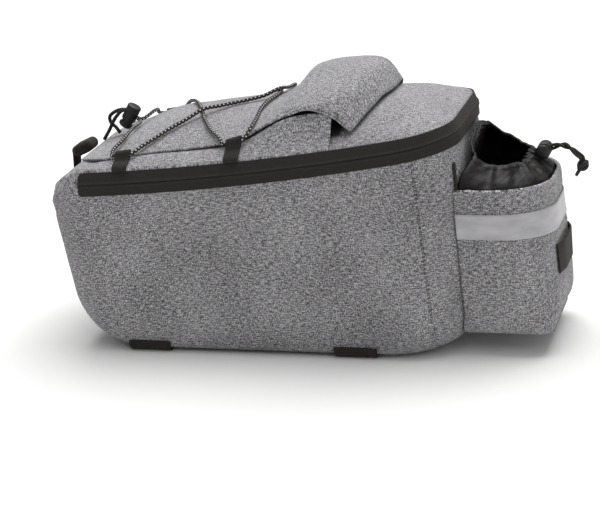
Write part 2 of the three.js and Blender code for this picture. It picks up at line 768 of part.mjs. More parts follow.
// Outline of the collar's foot: inside the pocket's rim and along the rear wall.
const collarOutline = (() => {
  const rim = pocketStations(pocketRimHeight, -pocketWall - seamGap);
  const half = Math.max(...rim.map(({ y }) => y));
  const wallAt = (y) => {
    const past = Math.max(0, Math.abs(y) - (rimWidth / 2 - rearCornerRadius));
    return collarFrontX - rearCornerRadius + Math.sqrt(rearCornerRadius ** 2 - past ** 2);
  };
  const alongWall = Array.from({ length: 2 * wallSteps + 1 }, (_, i) => half * (1 - i / wallSteps));
  return [...alongWall.map((y) => ({ x: wallAt(y), y })), ...rim.filter(({ x, y }) => x > wallAt(y) + 1)];
})();

function collarPoint(i, { up, draw, gather, hem }, inward) {
  const angle = (2 * Math.PI * i) / collarStations;
  const base = reachTo(collarOutline, mouthMiddleX, angle);
  const [a, b] = [mouthLength / 2, mouthWidth / 2];
  const flat = Math.cos(angle) < 0 ? mouthWallPower : mouthRearPower;
  const oval = (Math.abs(Math.cos(angle) / a) ** flat + Math.abs(Math.sin(angle) / b) ** flat) ** (-1 / flat);
  const mouth = Math.min(oval, base);
  const held = Math.cos(angle) < wallSide ? wallGatherShare : 1;
  const fold = gatherDepth * gather * Math.cos((i * Math.PI) / 2) * held;
  const wall = inward * (collarThickness + hemExtra * hem);
  const radius = base + (mouth - base) * draw - gatherDepth * gather + fold - wall;
  const x = mouthMiddleX + radius * Math.cos(angle);
  const bottom = pocketRimHeight - collarTuck;
  const z = bottom + up * (mouthHeight(x) - bottom) - inward * collarThickness * draw;
  return point(x, radius * Math.sin(angle), z);
}

function pocketCollar() {
  const ring = (section, inward) =>
    Array.from({ length: collarStations }, (_, i) => collarPoint(i, section, inward));
  const outer = collarSections.map((section) => ring(section, 0));
  const isInner = (_, i) => i !== 1 && i !== 3;
  const inner = collarSections.filter(isInner).map((section) => ring(section, 1)).reverse();
  return hoop([...outer, ...inner]);
}

// Cord lock: a barrel with a spring button. The cord passes through a slot in both, and the button's slot
// is longer by its travel. It is drawn along +Z, its cord along X, then turned into place.
const lockRadius = lockDiameter / 2;
const lockCordHeight = lockFloor + buttonTravel + seamGap + stemBridge + seamGap + laceDiameter / 2;

function turned(profile) {
  const geometry = new THREE.LatheGeometry(profile.map(([r, z]) => new THREE.Vector2(r, z)), roundSides);
  return geometry.rotateX(Math.PI / 2);
}

function placed(geometry, origin, axis, cordDirection) {
  const z = axis.clone().normalize();
  const y = z.clone().cross(cordDirection).normalize();
  const x = y.clone().cross(z);
  return geometry.applyMatrix4(new THREE.Matrix4().makeBasis(x, y, z).setPosition(origin));
}

function lockSlot(diameter, below, above) {
  const [wide, tall] = [2 * diameter + 3 * seamGap, diameter + below + above];
  const slot = new THREE.BoxGeometry(2 * lockDiameter, wide, tall);
  return slot.translate(0, 0, lockCordHeight + (above - below) / 2);
}

function lockBarrel(diameter) {
  const bevel = 1;
  const bore = lockRadius - lockWall;
  const body = turned([
    [0, 0],
    [lockRadius - bevel, 0],
    [lockRadius, bevel],
    [lockRadius, lockBarrelLength],
    [bore, lockBarrelLength],
    [bore, lockFloor],
    [0, lockFloor],
  ]);
  return cut(body, lockSlot(diameter, seamGap, seamGap));
}

function lockButton(diameter) {
  const stem = lockRadius - lockWall - buttonRunningGap;
  const head = lockBarrelLength + buttonTravel + seamGap;
  const body = turned([
    [0, lockFloor + buttonTravel + seamGap],
    [stem, lockFloor + buttonTravel + seamGap],
    [stem, head],
    [lockRadius, head],
    [lockRadius, head + 0.5 * buttonHeadLength],
    [0.8 * lockRadius, head + 0.85 * buttonHeadLength],
    [0.4 * lockRadius, head + buttonHeadLength],
    [0, head + buttonHeadLength],
  ]);
  return cut(body, lockSlot(diameter, seamGap, seamGap + buttonTravel));
}

// Where the two locks sit: the middle of the cord in each, the button's direction and the cord's.
const lidLock = {
  cord: point(-125, 12, 176.5),
  axis: point(-0.5, 0, -0.866),
  along: point(-0.866, 0, 0.5),
};
const pocketLock = {
  cord: point(rearX + 50.3, 8, 152.6),
  axis: point(0, -1, 0),
  along: point(0.95, 0, 0.3),
};

function lockOrigin({ cord, axis }) {
  return cord.clone().addScaledVector(axis.clone().normalize(), -lockCordHeight);
}

function strandOffset({ axis, along }, diameter) {
  return axis.clone().cross(along).normalize().multiplyScalar((diameter + seamGap) / 2);
}

// Binding that closes each end of the collar against the rear wall.
function binding(side) {
  const y = side * (pocketWidth / 2 - pocketWall);
  const wall = (height) => {
    const past = y - side * (rimWidth / 2 - rearCornerRadius);
    const corner = rearCornerRadius + seamGap + bindingEase;
    return rearWallX(height) - rearCornerRadius + Math.sqrt(corner ** 2 - past ** 2);
  };
  const rows = (out) =>
    [pocketRimHeight + seamGap, pocketRimHeight + bindingRise].map((height) =>
      [-0.5, 0.5].map((share) => point(wall(height) + out, y + share * bindingWidth, height)),
    );
  return sheet(rows(webbingThickness), rows(0));
}

// Elastic lace. Points by hand: place in plan and how far the cord's middle is lifted off the cover. Between
// them it passes through the eyes of the loops. Both its ends are in the cord lock on the lid.
const laceRest = laceDiameter / 2 + seamGap;
const eyeReach = 0.7; // of a loop's width, to where the lace is straight past its eye
const lacePoint = (x, y, lift = 0) => point(x, y, coverHeight(x, y) + coverThickness + laceRest + lift);

function eyeRoute(middleX, side, fromRear) {
  const ends = [-eyeReach, 0, eyeReach].map((share) => eyeCentre(middleX + share * laceLoopWidth, side));
  return fromRear ? ends.reverse() : ends;
}

// A place beside the lock: which of its two strands, and how far along the cord's direction.
function lockPoint(lock, diameter, strand, out) {
  const along = lock.along.clone().normalize();
  return lock.cord.clone().addScaledVector(strandOffset(lock, diameter), strand).addScaledVector(along, out);
}

const routeThrough = (points) => new THREE.CatmullRomCurve3(points, false, "centripetal");

function laceCurve() {
  const atLock = (strand, out) => lockPoint(lidLock, laceDiameter, strand, out);
  return routeThrough([
    atLock(1, -seamGap / 2),
    atLock(1, -9),
    lacePoint(-110, 30, 3),
    lacePoint(-116, 52, 2.4),
    lacePoint(-119, 67, 2),
    ...eyeRoute(laceLoopFrontX, 1, false),
    lacePoint(-93, 67, 1.6),
    lacePoint(-83, 52, 0.8),
    lacePoint(-72, 32, 0.6),
    lacePoint(-62, 6, 0.4),
    lacePoint(-52, -22, 0.4),
    lacePoint(-37, -52, 0.8),
    lacePoint(-27, -67, 1.6),
    ...eyeRoute(laceLoopRearX, -1, false),
    lacePoint(0, -67, 1.6),
    lacePoint(5, -54, 0.8),
    lacePoint(7, -20, 0.6),
    lacePoint(7, 20, 0.6),
    lacePoint(5, 54, 0.8),
    lacePoint(0, 67, 1.6),
    ...eyeRoute(laceLoopRearX, 1, true),
    lacePoint(-27, 67, 1.6),
    lacePoint(-36, 52, 0.8),
    lacePoint(-48, 28, 0.6),
    lacePoint(-61, 3, 3.9),
    lacePoint(-74, -26, 1),
    lacePoint(-84, -52, 0.8),
    lacePoint(-93, -67, 1.6),
    ...eyeRoute(laceLoopFrontX, -1, true),
    lacePoint(-119, -67, 2),
    lacePoint(-119, -52, 2),
    lacePoint(-114, -24, 3),
    atLock(-1, -9),
    atLock(-1, -seamGap / 2),
  ]);
}

// The lace's two ends past the lock, crossing and coming down on the front of the cover.
const laceTails = {
  lace_tail_far: {
    strand: 1,
    points: [point(-140, 15, 177.5), point(-145, 15.5, 173), point(-144, 15, 168), point(-140, 14.5, 164.5)],
    rest: [-136, 14],
  },
  lace_tail_near: {
    strand: -1,
    points: [point(-137, 10, 175), point(-141, 9.5, 169), point(-143.5, 9.5, 164)],
    rest: [-149, 9],
  },
};

function tailCurve({ strand, points, rest }) {
  const out = [seamGap / 2, 7].map((distance) => lockPoint(lidLock, laceDiameter, strand, distance));
  return routeThrough([...out, ...points, lacePoint(...rest)]);
}

// Drawstring of the collar: two strands side by side from the hem, through their lock, to one knot.
const knotCentre = point(rearX + 82, 0, 142);
const drawstringPoints = [
  point(rearX + 64, 6, 157),
  point(rearX + 71, 3.5, 155.5),
  point(rearX + 78, 1, 150.5),
];

function drawstringCurve(strand) {
  const atLock = [-7.9, 0, 7].map((out) => lockPoint(pocketLock, drawstringDiameter, 0, out));
  const end = knotCentre.clone().add(point(-1, 0, 0.55 * knotDiameter + 5 * seamGap));
  const middle = routeThrough([...atLock, ...drawstringPoints, end]);
  const apart = (strand * (drawstringDiameter + seamGap)) / 2;
  const beside = (share) => {
    const normal = middle.getTangentAt(share).cross(point(0, -1, 0)).normalize();
    return middle.getPointAt(share).addScaledVector(normal, apart);
  };
  return routeThrough(Array.from({ length: 13 }, (_, i) => beside(i / 12)));
}

function drawstringKnot() {
  const ball = new THREE.IcosahedronGeometry(knotDiameter / 2, 1).scale(1, 1, 1.1);
  ball.translate(knotCentre.x, knotCentre.y, knotCentre.z);
  const tails = [-1, 1].map((side) => {
    const start = knotCentre.clone().add(point(0, (side * knotDiameter) / 4, 0));
    const direction = point(-0.55, 0.1 * side, -0.83);
    return rod(start, direction, knotDiameter / 2 + knotTailLength, drawstringDiameter / 2, cordSides);
  });
  return joined(ball, ...tails);
}

const finishes = {
  heather: { color: 0x8d8b90, roughness: 0.95 },
  webbing: { color: 0x211e1b, roughness: 0.85 },
  nylon: { color: 0x161514, roughness: 0.5 },
  tape: { color: 0x25211e, roughness: 0.8 },
  coil: { color: 0x1a1816, roughness: 0.5 },
  metal: { color: 0x2a2a2b, roughness: 0.4, metalness: 0.8 },
  moulded: { color: 0x151414, roughness: 0.45 },
  elastic: { color: 0x181716, roughness: 0.8 },
  cord: { color: 0x141312, roughness: 0.7 },
  reflective: { color: 0xa7a5a8, roughness: 0.35 },
  base: { color: 0x1b1a1a, roughness: 0.9 },
};

const group = new THREE.Group();

function add(name, geometry, finish) {
  const mesh = new THREE.Mesh(geometry, new THREE.MeshStandardMaterial(finishes[finish]));
  mesh.name = name;
  group.add(mesh);
}

const blank = bodyBlank();

add("body_shell", bodyShell(), "heather");
add("base_panel", basePanel(), "base");
add("base_strap_front", baseStrap(baseStrapFrontX), "webbing");
add("base_strap_rear", baseStrap(baseStrapRearX), "webbing");
add("zip_tape_body", zipStrip(-bandHalf, -coilWidth / 2 - seamGap, tapeThickness), "tape");
add("zip_tape_lid", zipStrip(coilWidth / 2 + seamGap, bandHalf, tapeThickness), "tape");
add("zip_coil", zipStrip(-coilWidth / 2, coilWidth / 2, coilThickness, coilGap), "coil");
add("zip_slider", zipSlider(), "metal");
add("lid_shell", lidShell(), "heather");
add("lid_cover", coverSheet(), "heather");
add("gusset_near", gusset(-1), "heather");
add("gusset_far", gusset(1), "heather");
add("hook_strip", hookStrip(), "webbing");
for (const [place, x] of [["front", laceLoopFrontX], ["rear", laceLoopRearX]]) {
  add(`lace_loop_${place}_near`, laceLoop(x, -1), "webbing");
  add(`lace_loop_${place}_far`, laceLoop(x, 1), "webbing");
}
add("front_tab", frontTab(), "webbing");
add("bottle_pocket", cut(pocketTub(), blank), "heather");
add("reflective_strip", cut(reflectiveStrip(), blank), "reflective");
add("light_loop", lightLoop(), "webbing");
add("pocket_collar", pocketCollar(), "nylon");
add("pocket_binding_near", binding(-1), "nylon");
add("pocket_binding_far", binding(1), "nylon");
for (const [name, lock, diameter] of [
  ["lid_lock", lidLock, laceDiameter],
  ["pocket_lock", pocketLock, drawstringDiameter],
]) {
  add(`${name}_barrel`, placed(lockBarrel(diameter), lockOrigin(lock), lock.axis, lock.along), "moulded");
  add(`${name}_button`, placed(lockButton(diameter), lockOrigin(lock), lock.axis, lock.along), "moulded");
}
add("lacing_cord", cordAlong(laceCurve(), laceDiameter, 80), "elastic");
for (const [name, tail] of Object.entries(laceTails)) {
  add(name, cordAlong(tailCurve(tail), laceDiameter, 12), "elastic");
}
add("drawstring_near", cordAlong(drawstringCurve(-1), drawstringDiameter, 14), "cord");
add("drawstring_far", cordAlong(drawstringCurve(1), drawstringDiameter, 14), "cord");
add("drawstring_knot", drawstringKnot(), "cord");

// The origin goes to the middle of the footprint of everything but the free cords.
const freeCords = ["lace_tail_near", "lace_tail_far", "drawstring_near", "drawstring_far", "drawstring_knot"];
const extent = new THREE.Box3();
group.children.forEach((mesh) => {
  if (!freeCords.includes(mesh.name)) extent.expandByObject(mesh, true);
});
const middle = extent.getCenter(new THREE.Vector3());
group.children.forEach((mesh) => mesh.position.set(-middle.x, -middle.y, -extent.min.z));

export default group;
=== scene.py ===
import math
import bmesh
import bpy
import numpy as np
from mathutils import Matrix, Vector


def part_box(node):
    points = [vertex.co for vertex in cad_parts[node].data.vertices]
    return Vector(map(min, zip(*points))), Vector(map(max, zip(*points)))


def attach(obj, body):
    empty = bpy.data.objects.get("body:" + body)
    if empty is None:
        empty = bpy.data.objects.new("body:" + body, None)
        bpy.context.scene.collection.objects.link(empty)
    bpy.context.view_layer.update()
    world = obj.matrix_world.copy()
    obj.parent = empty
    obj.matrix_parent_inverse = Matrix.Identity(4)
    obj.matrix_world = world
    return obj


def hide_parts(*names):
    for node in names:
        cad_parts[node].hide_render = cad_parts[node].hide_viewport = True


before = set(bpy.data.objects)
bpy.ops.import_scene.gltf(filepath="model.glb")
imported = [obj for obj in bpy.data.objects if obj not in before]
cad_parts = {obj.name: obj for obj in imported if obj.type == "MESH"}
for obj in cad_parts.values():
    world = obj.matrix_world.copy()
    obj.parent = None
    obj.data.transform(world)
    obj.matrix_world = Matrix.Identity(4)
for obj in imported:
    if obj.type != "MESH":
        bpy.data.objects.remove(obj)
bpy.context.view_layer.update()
print("stage: frame loaded")

# Lengths below are millimetres in the bag's own frame, whose middle is between the front bulge and the rear
# wall. shared() brings them to the shared frame in metres.
mm = 0.001
gap = 0.3  # between sewn or resting pieces
bag = {
    "length": 345.5, "rimWidth": 175.0, "baseWidth": 162.0, "wall": 5.0,
    "frontLean": 9.4, "rearLean": 4.1, "frontHeel": 40.0, "rearHeel": 34.0, "sideHeel": 6.0,
    "frontCorner": 30.0, "rearCorner": 45.0, "hingeHeight": 121.0, "clearance": 2.1,
}
frontX, rearX = -bag["length"] / 2, bag["length"] / 2
shellLow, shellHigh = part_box("body_shell")
bagShift = np.array([shellLow.x / mm - frontX, (shellLow.y + shellHigh.y) / 2 / mm, 0.0])


def shared(points):
    return (np.asarray(points, float) + bagShift) * mm


# Meshes
def linked(name, data):
    made = bpy.data.objects.new(name, data)
    bpy.context.scene.collection.objects.link(made)
    return made


def smoothShaded(mesh, on=True):
    mesh.polygons.foreach_set("use_smooth", [on] * len(mesh.polygons))


def baked(piece):
    return bpy.data.meshes.new_from_object(piece.evaluated_get(bpy.context.evaluated_depsgraph_get()))


def newObject(name, points, faces, uvs=None, materials=(), faceMaterials=None):
    mesh = bpy.data.meshes.new(name)
    mesh.from_pydata([tuple(p) for p in shared(points)], [], [tuple(f) for f in faces])
    if uvs is not None:
        layer = mesh.uv_layers.new(name="threads")
        layer.data.foreach_set("uv", np.concatenate([np.asarray(u, float).reshape(-1) for u in uvs]))
    for material in materials:
        mesh.materials.append(material)
    if faceMaterials is not None:
        mesh.polygons.foreach_set("material_index", np.asarray(faceMaterials, np.int32))
    smoothShaded(mesh)
    mesh.update()
    return linked(name, mesh)


def outwards(piece, merge=0.0):
    made = bmesh.new()
    made.from_mesh(piece.data)
    if merge:
        bmesh.ops.remove_doubles(made, verts=made.verts, dist=merge * mm)
    bmesh.ops.recalc_face_normals(made, faces=made.faces)
    made.to_mesh(piece.data)
    made.free()
    smoothShaded(piece.data)
    return piece


# A closed grid, with its first column again behind its last
def wrapped(grid):
    return np.concatenate([grid, grid[:, :1]], axis=1)


def unitRows(vectors):
    return vectors / np.linalg.norm(vectors, axis=-1, keepdims=True)


# Distance along a line to each of its points
def runs(line):
    return np.concatenate([[0], np.cumsum(np.linalg.norm(np.diff(line, axis=0), axis=1))])


def arcs(grid, axis):
    steps = np.linalg.norm(np.diff(grid, axis=axis), axis=2)
    pad = [(1, 0), (0, 0)] if axis == 0 else [(0, 0), (1, 0)]
    return np.cumsum(np.pad(steps, pad), axis=axis)


def threadUv(grid, closed=False):
    whole = wrapped(grid) if closed else grid
    across = arcs(whole, 1)
    up = arcs(whole, 0)
    return np.stack([across - across.mean(axis=1, keepdims=True), up], axis=2)


def gridNormals(grid, closed=False):
    if closed:
        wide = np.concatenate([grid[:, -1:], wrapped(grid)], axis=1)
        along = wide[:, 2:] - wide[:, :-2]
    else:
        along = np.gradient(grid, axis=1)
    up = np.gradient(grid, axis=0)
    normal = np.cross(along, up)
    return normal / np.maximum(np.linalg.norm(normal, axis=2, keepdims=True), 1e-9)


def quads(rows, columns, closed=False, start=0):
    count = columns if closed else columns - 1
    i, j = np.meshgrid(np.arange(rows - 1), np.arange(count), indexing="ij")
    nextJ = (j + 1) % columns
    a = start + i * columns
    return np.stack([a + j, a + nextJ, a + columns + nextJ, a + columns + j], axis=2).reshape(-1, 4)


def quadUvs(uv, rows, columns):
    i, j = np.meshgrid(np.arange(rows), np.arange(columns), indexing="ij")
    return np.stack([uv[i, j], uv[i, j + 1], uv[i + 1, j + 1], uv[i + 1, j]], axis=2).reshape(-1, 4, 2)


# Whether a face looks the wrong way: against a direction, or towards the middle where none is given
def facesAway(grid, normal, facing):
    hint = grid - grid.mean(axis=(0, 1)) if facing is None else np.asarray(facing, float)
    return (normal * hint).sum() < 0


# A closed sheet of cloth: its outer face is the grid, its inner one a thickness behind it.
def sheetPiece(name, grid, thickness, material, facing, uv=None, lining=None, round=0.35):
    grid = np.asarray(grid, float)
    rows, columns = grid.shape[:2]
    normal = gridNormals(grid)
    if facesAway(grid, normal, facing):
        normal = -normal
    uv = threadUv(grid) if uv is None else uv
    depth = np.asarray(thickness, float)
    depth = depth[..., None] if depth.ndim == 2 else depth
    under = grid - normal * depth
    edge = ([(0, j) for j in range(columns)] + [(i, columns - 1) for i in range(1, rows)]
            + [(rows - 1, j) for j in range(columns - 2, -1, -1)]
            + [(i, 0) for i in range(rows - 2, 0, -1)])
    index = np.array([i * columns + j for i, j in edge])
    middle = (grid + under) / 2
    outward = np.array([grid[i, j] - grid[min(max(i, 1), rows - 2), min(max(j, 1), columns - 2)] for i,
                        j in edge])
    outward /= np.maximum(np.linalg.norm(outward, axis=1, keepdims=True), 1e-9)
    rounded = np.array([middle[i, j] for i, j in edge]) + outward * (round * np.mean(depth))
    points = np.concatenate([grid.reshape(-1, 3), under.reshape(-1, 3), rounded])
    n, total = rows * columns, len(edge)
    top = quads(rows, columns)
    low = quads(rows, columns, start=n)[:, ::-1]
    ring, after = np.arange(total), (np.arange(total) + 1) % total
    upper = np.stack([index[after], index, 2 * n + ring, 2 * n + after], axis=1)
    lower = np.stack([2 * n + after, 2 * n + ring, n + index, n + index[after]], axis=1)
    flat = uv.reshape(-1, 2)
    topUv = quadUvs(uv, rows - 1, columns - 1)
    a, b = flat[index], flat[index[after]]
    edgeUv = np.stack([b, a, a, b], axis=1)
    uvs = [topUv, topUv[:, ::-1], edgeUv, np.stack([b, a, a, b], axis=1)]
    kinds = np.concatenate([np.zeros(len(top)), np.full(len(low), 1 if lining else 0), np.zeros(2 * total)])
    materials = [material] + ([lining] if lining else [])
    faces = np.concatenate([top, low, upper, lower])
    return outwards(newObject(name, points, faces, uvs, materials, kinds))


# A closed skin over rings of points, its first and last ring closed by rungs between mirrored points.
def skinPiece(name, rings, uv, material, lining=None, liningFrom=None):
    rings = np.asarray(rings, float)
    rows, columns = rings.shape[:2]
    sides = quads(rows, columns, closed=True)
    sideUv = quadUvs(uv, rows - 1, columns)
    caps, capUv = [], []
    for row in (0, rows - 1):
        for i in range(columns // 2):
            corners = [i, i + 1, columns - i - 1, (columns - i) % columns]
            face = list(dict.fromkeys(row * columns + c for c in corners))
            if len(face) > 2:
                caps.append(face)
                capUv.append([rings[row, f % columns, :2] for f in face])
    faces = [tuple(f) for f in sides] + caps
    uvs = [sideUv.reshape(-1)] + [np.array(u).reshape(-1) for u in capUv]
    kinds = np.zeros(len(faces))
    if lining:
        kinds[liningFrom * columns:len(sides)] = 1
        kinds[-(len(caps) // 2):] = 1
    return outwards(newObject(name, rings.reshape(-1, 3), faces, uvs,
                              [material] + ([lining] if lining else []), kinds))


def tubePiece(name, path, diameter, material, sides=12):
    path = np.asarray(path, float)
    tangent = unitRows(np.gradient(path, axis=0))
    normal = np.cross(tangent[0], (0.3, 0.2, 1.0))
    frames = []
    for t in tangent:  # each section is turned as little as it can be
        normal = normal - t * (normal @ t)
        normal /= np.linalg.norm(normal)
        frames.append((normal.copy(), np.cross(t, normal)))
    turn = 2 * np.pi * np.arange(sides) / sides
    length = runs(path)
    rings = np.array([p + diameter / 2 * (np.cos(turn)[:, None] * n + np.sin(turn)[:, None] * b)
                      for p, (n, b) in zip(path, frames)])
    around = np.arange(sides + 1) / sides * math.pi * diameter
    uv = np.stack(np.meshgrid(length, around, indexing="ij"), axis=2)
    faces = [tuple(f) for f in quads(len(path), sides, closed=True)]
    uvs = [quadUvs(uv, len(path) - 1, sides).reshape(-1)]
    for row in (0, len(path) - 1):
        faces.append(tuple(row * sides + k for k in range(sides)))
        uvs.append(np.tile([length[row], 0.0], sides))
    return outwards(newObject(name, rings.reshape(-1, 3), faces, uvs, [material]))


# What a finished piece stands for and the body that it moves with
def dress(piece, node, body="bag"):
    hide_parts(node)
    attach(piece, body)


def smooth(share):
    t = np.clip(share, 0, 1)
    return t * t * (3 - 2 * t)


# Values between named stops, without overshoot
def between(stops, values, at):
    stops, values, at = (np.asarray(v, float) for v in (stops, values, at))
    slope = np.diff(values) / np.diff(stops)
    bend = np.zeros(len(stops))
    inner = slope[1:] * slope[:-1] > 0
    bend[1:-1][inner] = 2 * slope[1:][inner] * slope[:-1][inner] / (slope[1:] + slope[:-1])[inner]
    bend[0], bend[-1] = slope[0], slope[-1]
    k = np.clip(np.searchsorted(stops, at, side="right") - 1, 0, len(stops) - 2)
    run = stops[k + 1] - stops[k]
    t = np.clip((at - stops[k]) / run, 0, 1)
    return ((2 * t**3 - 3 * t**2 + 1) * values[k] + (t**3 - 2 * t**2 + t) * run * bend[k]
            + (3 * t**2 - 2 * t**3) * values[k + 1] + (t**3 - t**2) * run * bend[k + 1])


# Soft, even waves of cloth: a fixed sum of sines with no period that shows.
def ripple(x, y, size, seed=0.0):
    x, y = np.asarray(x) / size, np.asarray(y) / size
    return (np.sin(1.9 * x + 1.1 * y + 0.7 + seed) + np.sin(-1.3 * x + 2.3 * y + 2.1 * seed + 1.9)
            + np.sin(3.1 * x - 0.6 * y + 3.7 * seed) * 0.6
            + np.sin(0.8 * x + 3.4 * y + 1.3 * seed + 4.0) * 0.6) / 3.2


# Route through given points: a centripetal spline, then even steps.
def routeThrough(points, step):
    p = np.asarray(points, float)
    p = np.concatenate([[2 * p[0] - p[1]], p, [2 * p[-1] - p[-2]]])
    spans = np.linalg.norm(np.diff(p, axis=0), axis=1)
    knots = np.concatenate([[0], np.cumsum(np.sqrt(np.maximum(spans, 1e-6)))])
    out = []
    for k in range(1, len(p) - 2):
        t = np.linspace(knots[k], knots[k + 1], 24, endpoint=k == len(p) - 3)[:, None]
        t0, t1, t2, t3 = knots[k - 1:k + 3]
        a1 = (t1 - t) / (t1 - t0) * p[k - 1] + (t - t0) / (t1 - t0) * p[k]
        a2 = (t2 - t) / (t2 - t1) * p[k] + (t - t1) / (t2 - t1) * p[k + 1]
        a3 = (t3 - t) / (t3 - t2) * p[k + 1] + (t - t2) / (t3 - t2) * p[k + 2]
        b1 = (t2 - t) / (t2 - t0) * a1 + (t - t0) / (t2 - t0) * a2
        b2 = (t3 - t) / (t3 - t1) * a2 + (t - t1) / (t3 - t1) * a3
        out.append((t2 - t) / (t2 - t1) * b1 + (t - t1) / (t2 - t1) * b2)
    return evenSteps(np.concatenate(out), step)


def evenCount(line, count):
    length = runs(line)
    at = np.linspace(0, length[-1], count)
    return np.stack([np.interp(at, length, line[:, k]) for k in range(3)], axis=1)


def evenSteps(line, step):
    return evenCount(line, max(2, int(round(runs(line)[-1] / step)) + 1))


# Cloth simulation of one outer face: pinned where it is sewn, swelled by its padding, each point held within
# its cap. The sheet is a little larger than its frame, so that it buckles as sewn cloth does.
def relaxed(grid, pinned, cap, facing, pressure=2.0, slack=0.012, frames=14, coarse=2):
    rows, columns = grid.shape[:2]
    pickRows = np.unique(np.append(np.arange(0, rows, coarse), rows - 1))
    pickColumns = np.unique(np.append(np.arange(0, columns, coarse), columns - 1))
    small = grid[np.ix_(pickRows, pickColumns)]
    held = pinned[np.ix_(pickRows, pickColumns)].reshape(-1)
    faces = quads(*small.shape[:2])
    if facesAway(small, gridNormals(small), facing):
        faces = faces[:, ::-1]
    sheet = newObject("clothTrial", small.reshape(-1, 3), faces)
    pins = sheet.vertex_groups.new(name="pins")
    for i in np.flatnonzero(held > 0.01):
        pins.add([int(i)], float(min(1.0, held[i])), "REPLACE")
    cloth = sheet.modifiers.new("cloth", "CLOTH")
    s = cloth.settings
    s.vertex_group_mass, s.quality, s.mass, s.air_damping = "pins", 5, 0.3, 4.0
    s.tension_stiffness = s.compression_stiffness = 18.0
    s.shear_stiffness, s.bending_stiffness = 8.0, 0.8
    s.shrink_min = s.shrink_max = -slack
    s.use_pressure, s.uniform_pressure_force = True, pressure
    s.effector_weights.gravity = 0.0
    scene = bpy.context.scene
    for number in range(1, frames + 1):
        scene.frame_set(number)
    seen = sheet.evaluated_get(bpy.context.evaluated_depsgraph_get())
    after = np.array([v.co for v in seen.data.vertices]) / mm - bagShift
    scene.frame_set(1)
    bpy.data.objects.remove(sheet)
    moved = (after - small.reshape(-1, 3)).reshape(small.shape)
    fine = np.stack([np.array([np.interp(np.arange(columns), pickColumns, row) for row in moved[..., k]])
                     for k in range(3)], axis=2)
    fine = np.stack([np.array([np.interp(np.arange(rows), pickRows,
                                         fine[:, j, k]) for j in range(columns)]).T
                     for k in range(3)], axis=2)
    size = np.linalg.norm(fine, axis=2)
    limit = np.maximum(np.asarray(cap, float) * (1 - pinned), 1e-6)
    return grid + fine * (limit * np.tanh(size / limit) / np.maximum(size, 1e-9))[..., None]


# Materials
def toLinear(hexColour):
    channels = [int(hexColour[i:i + 2], 16) / 255 for i in (1, 3, 5)]
    return (*[c / 12.92 if c <= 0.04045 else ((c + 0.055) / 1.055) ** 2.4 for c in channels], 1.0)


def addNode(tree, kind, settings=None, inputs=None):
    made = tree.nodes.new(kind)
    for name, value in (settings or {}).items():
        setattr(made, name, value)
    for name, value in (inputs or {}).items():
        if isinstance(value, bpy.types.NodeSocket):
            tree.links.new(value, made.inputs[name])
        else:
            made.inputs[name].default_value = value
    return made


def newMaterial(name, roughness, metallic=0.0, ior=1.5, sheen=0.0, coat=0.0):
    material = bpy.data.materials.new(name)
    material.use_nodes = True
    tree = material.node_tree
    tree.nodes.clear()
    shader = addNode(tree, "ShaderNodeBsdfPrincipled", inputs={
        "Roughness": roughness, "Metallic": metallic, "IOR": ior, "Sheen Weight": sheen,
        "Coat Weight": coat})
    addNode(tree, "ShaderNodeOutputMaterial", inputs={"Surface": shader.outputs[0]})
    return material, tree, shader


def threadsAt(tree, scaleX, scaleY):
    uv = addNode(tree, "ShaderNodeUVMap", {"uv_map": "threads"})
    return addNode(tree, "ShaderNodeMapping", inputs={
        "Vector": uv.outputs[0], "Scale": (scaleX, scaleY, 1.0)}).outputs[0]


# Noise in the plane of the cloth, with grains of a width and a height in millimetres
def clothNoise(tree, width, height, detail=1.0, roughness=0.5):
    return addNode(tree, "ShaderNodeTexNoise", {"noise_dimensions": "2D"}, {
        "Vector": threadsAt(tree, 1 / width, 1 / height), "Scale": 1.0, "Detail": detail,
        "Roughness": roughness}).outputs[0]


# Ribs in the plane of the cloth: 0.314 over the pitch is the scale at which Blender's waves have that pitch
def clothRibs(tree, direction, pitchMm, distortion):
    return addNode(tree, "ShaderNodeTexWave", {"bands_direction": direction}, {
        "Vector": threadsAt(tree, 1, 1), "Scale": 0.314 / pitchMm, "Distortion": distortion}).outputs["Fac"]


# Noise through a moulded or turned piece
def solidNoise(tree, sizeMm, detail):
    place = addNode(tree, "ShaderNodeTexCoord").outputs["Object"]
    return addNode(tree, "ShaderNodeTexNoise", inputs={
        "Vector": place, "Scale": 1 / (sizeMm * mm), "Detail": detail}).outputs[0]


def mathOf(tree, operation, a, b=0.0, c=0.0):
    return addNode(tree, "ShaderNodeMath", {"operation": operation}, {0: a, 1: b, 2: c}).outputs[0]


def rampOf(tree, value, stops):
    ramp = addNode(tree, "ShaderNodeValToRGB", inputs={"Fac": value})
    elements = ramp.color_ramp.elements
    while len(elements) < len(stops):
        elements.new(0.5)
    for element, (at, colour) in zip(elements, stops):
        element.position, element.color = at, toLinear(colour)
    return ramp.outputs[0]


def setBump(tree, shader, height, distance, strength=1.0):
    bump = addNode(tree, "ShaderNodeBump", inputs={
        "Height": height, "Distance": distance * mm, "Strength": strength})
    tree.links.new(bump.outputs[0], shader.inputs["Normal"])


heather = {
    "threadMm": 0.95,  # real threads lie 0.5 mm apart, drawn coarser so that they show at this size
    "slubMm": 4.5,  # length over which a thread keeps its shade
    "stops": [(0.24, "#2f2d30"), (0.40, "#686669"), (0.52, "#929093"), (0.63, "#b5b3b6"), (0.80, "#e0dee0")],
    # width of the patches of painted wrinkle shade
    "wrinkleShadeMm": 60.0,
}
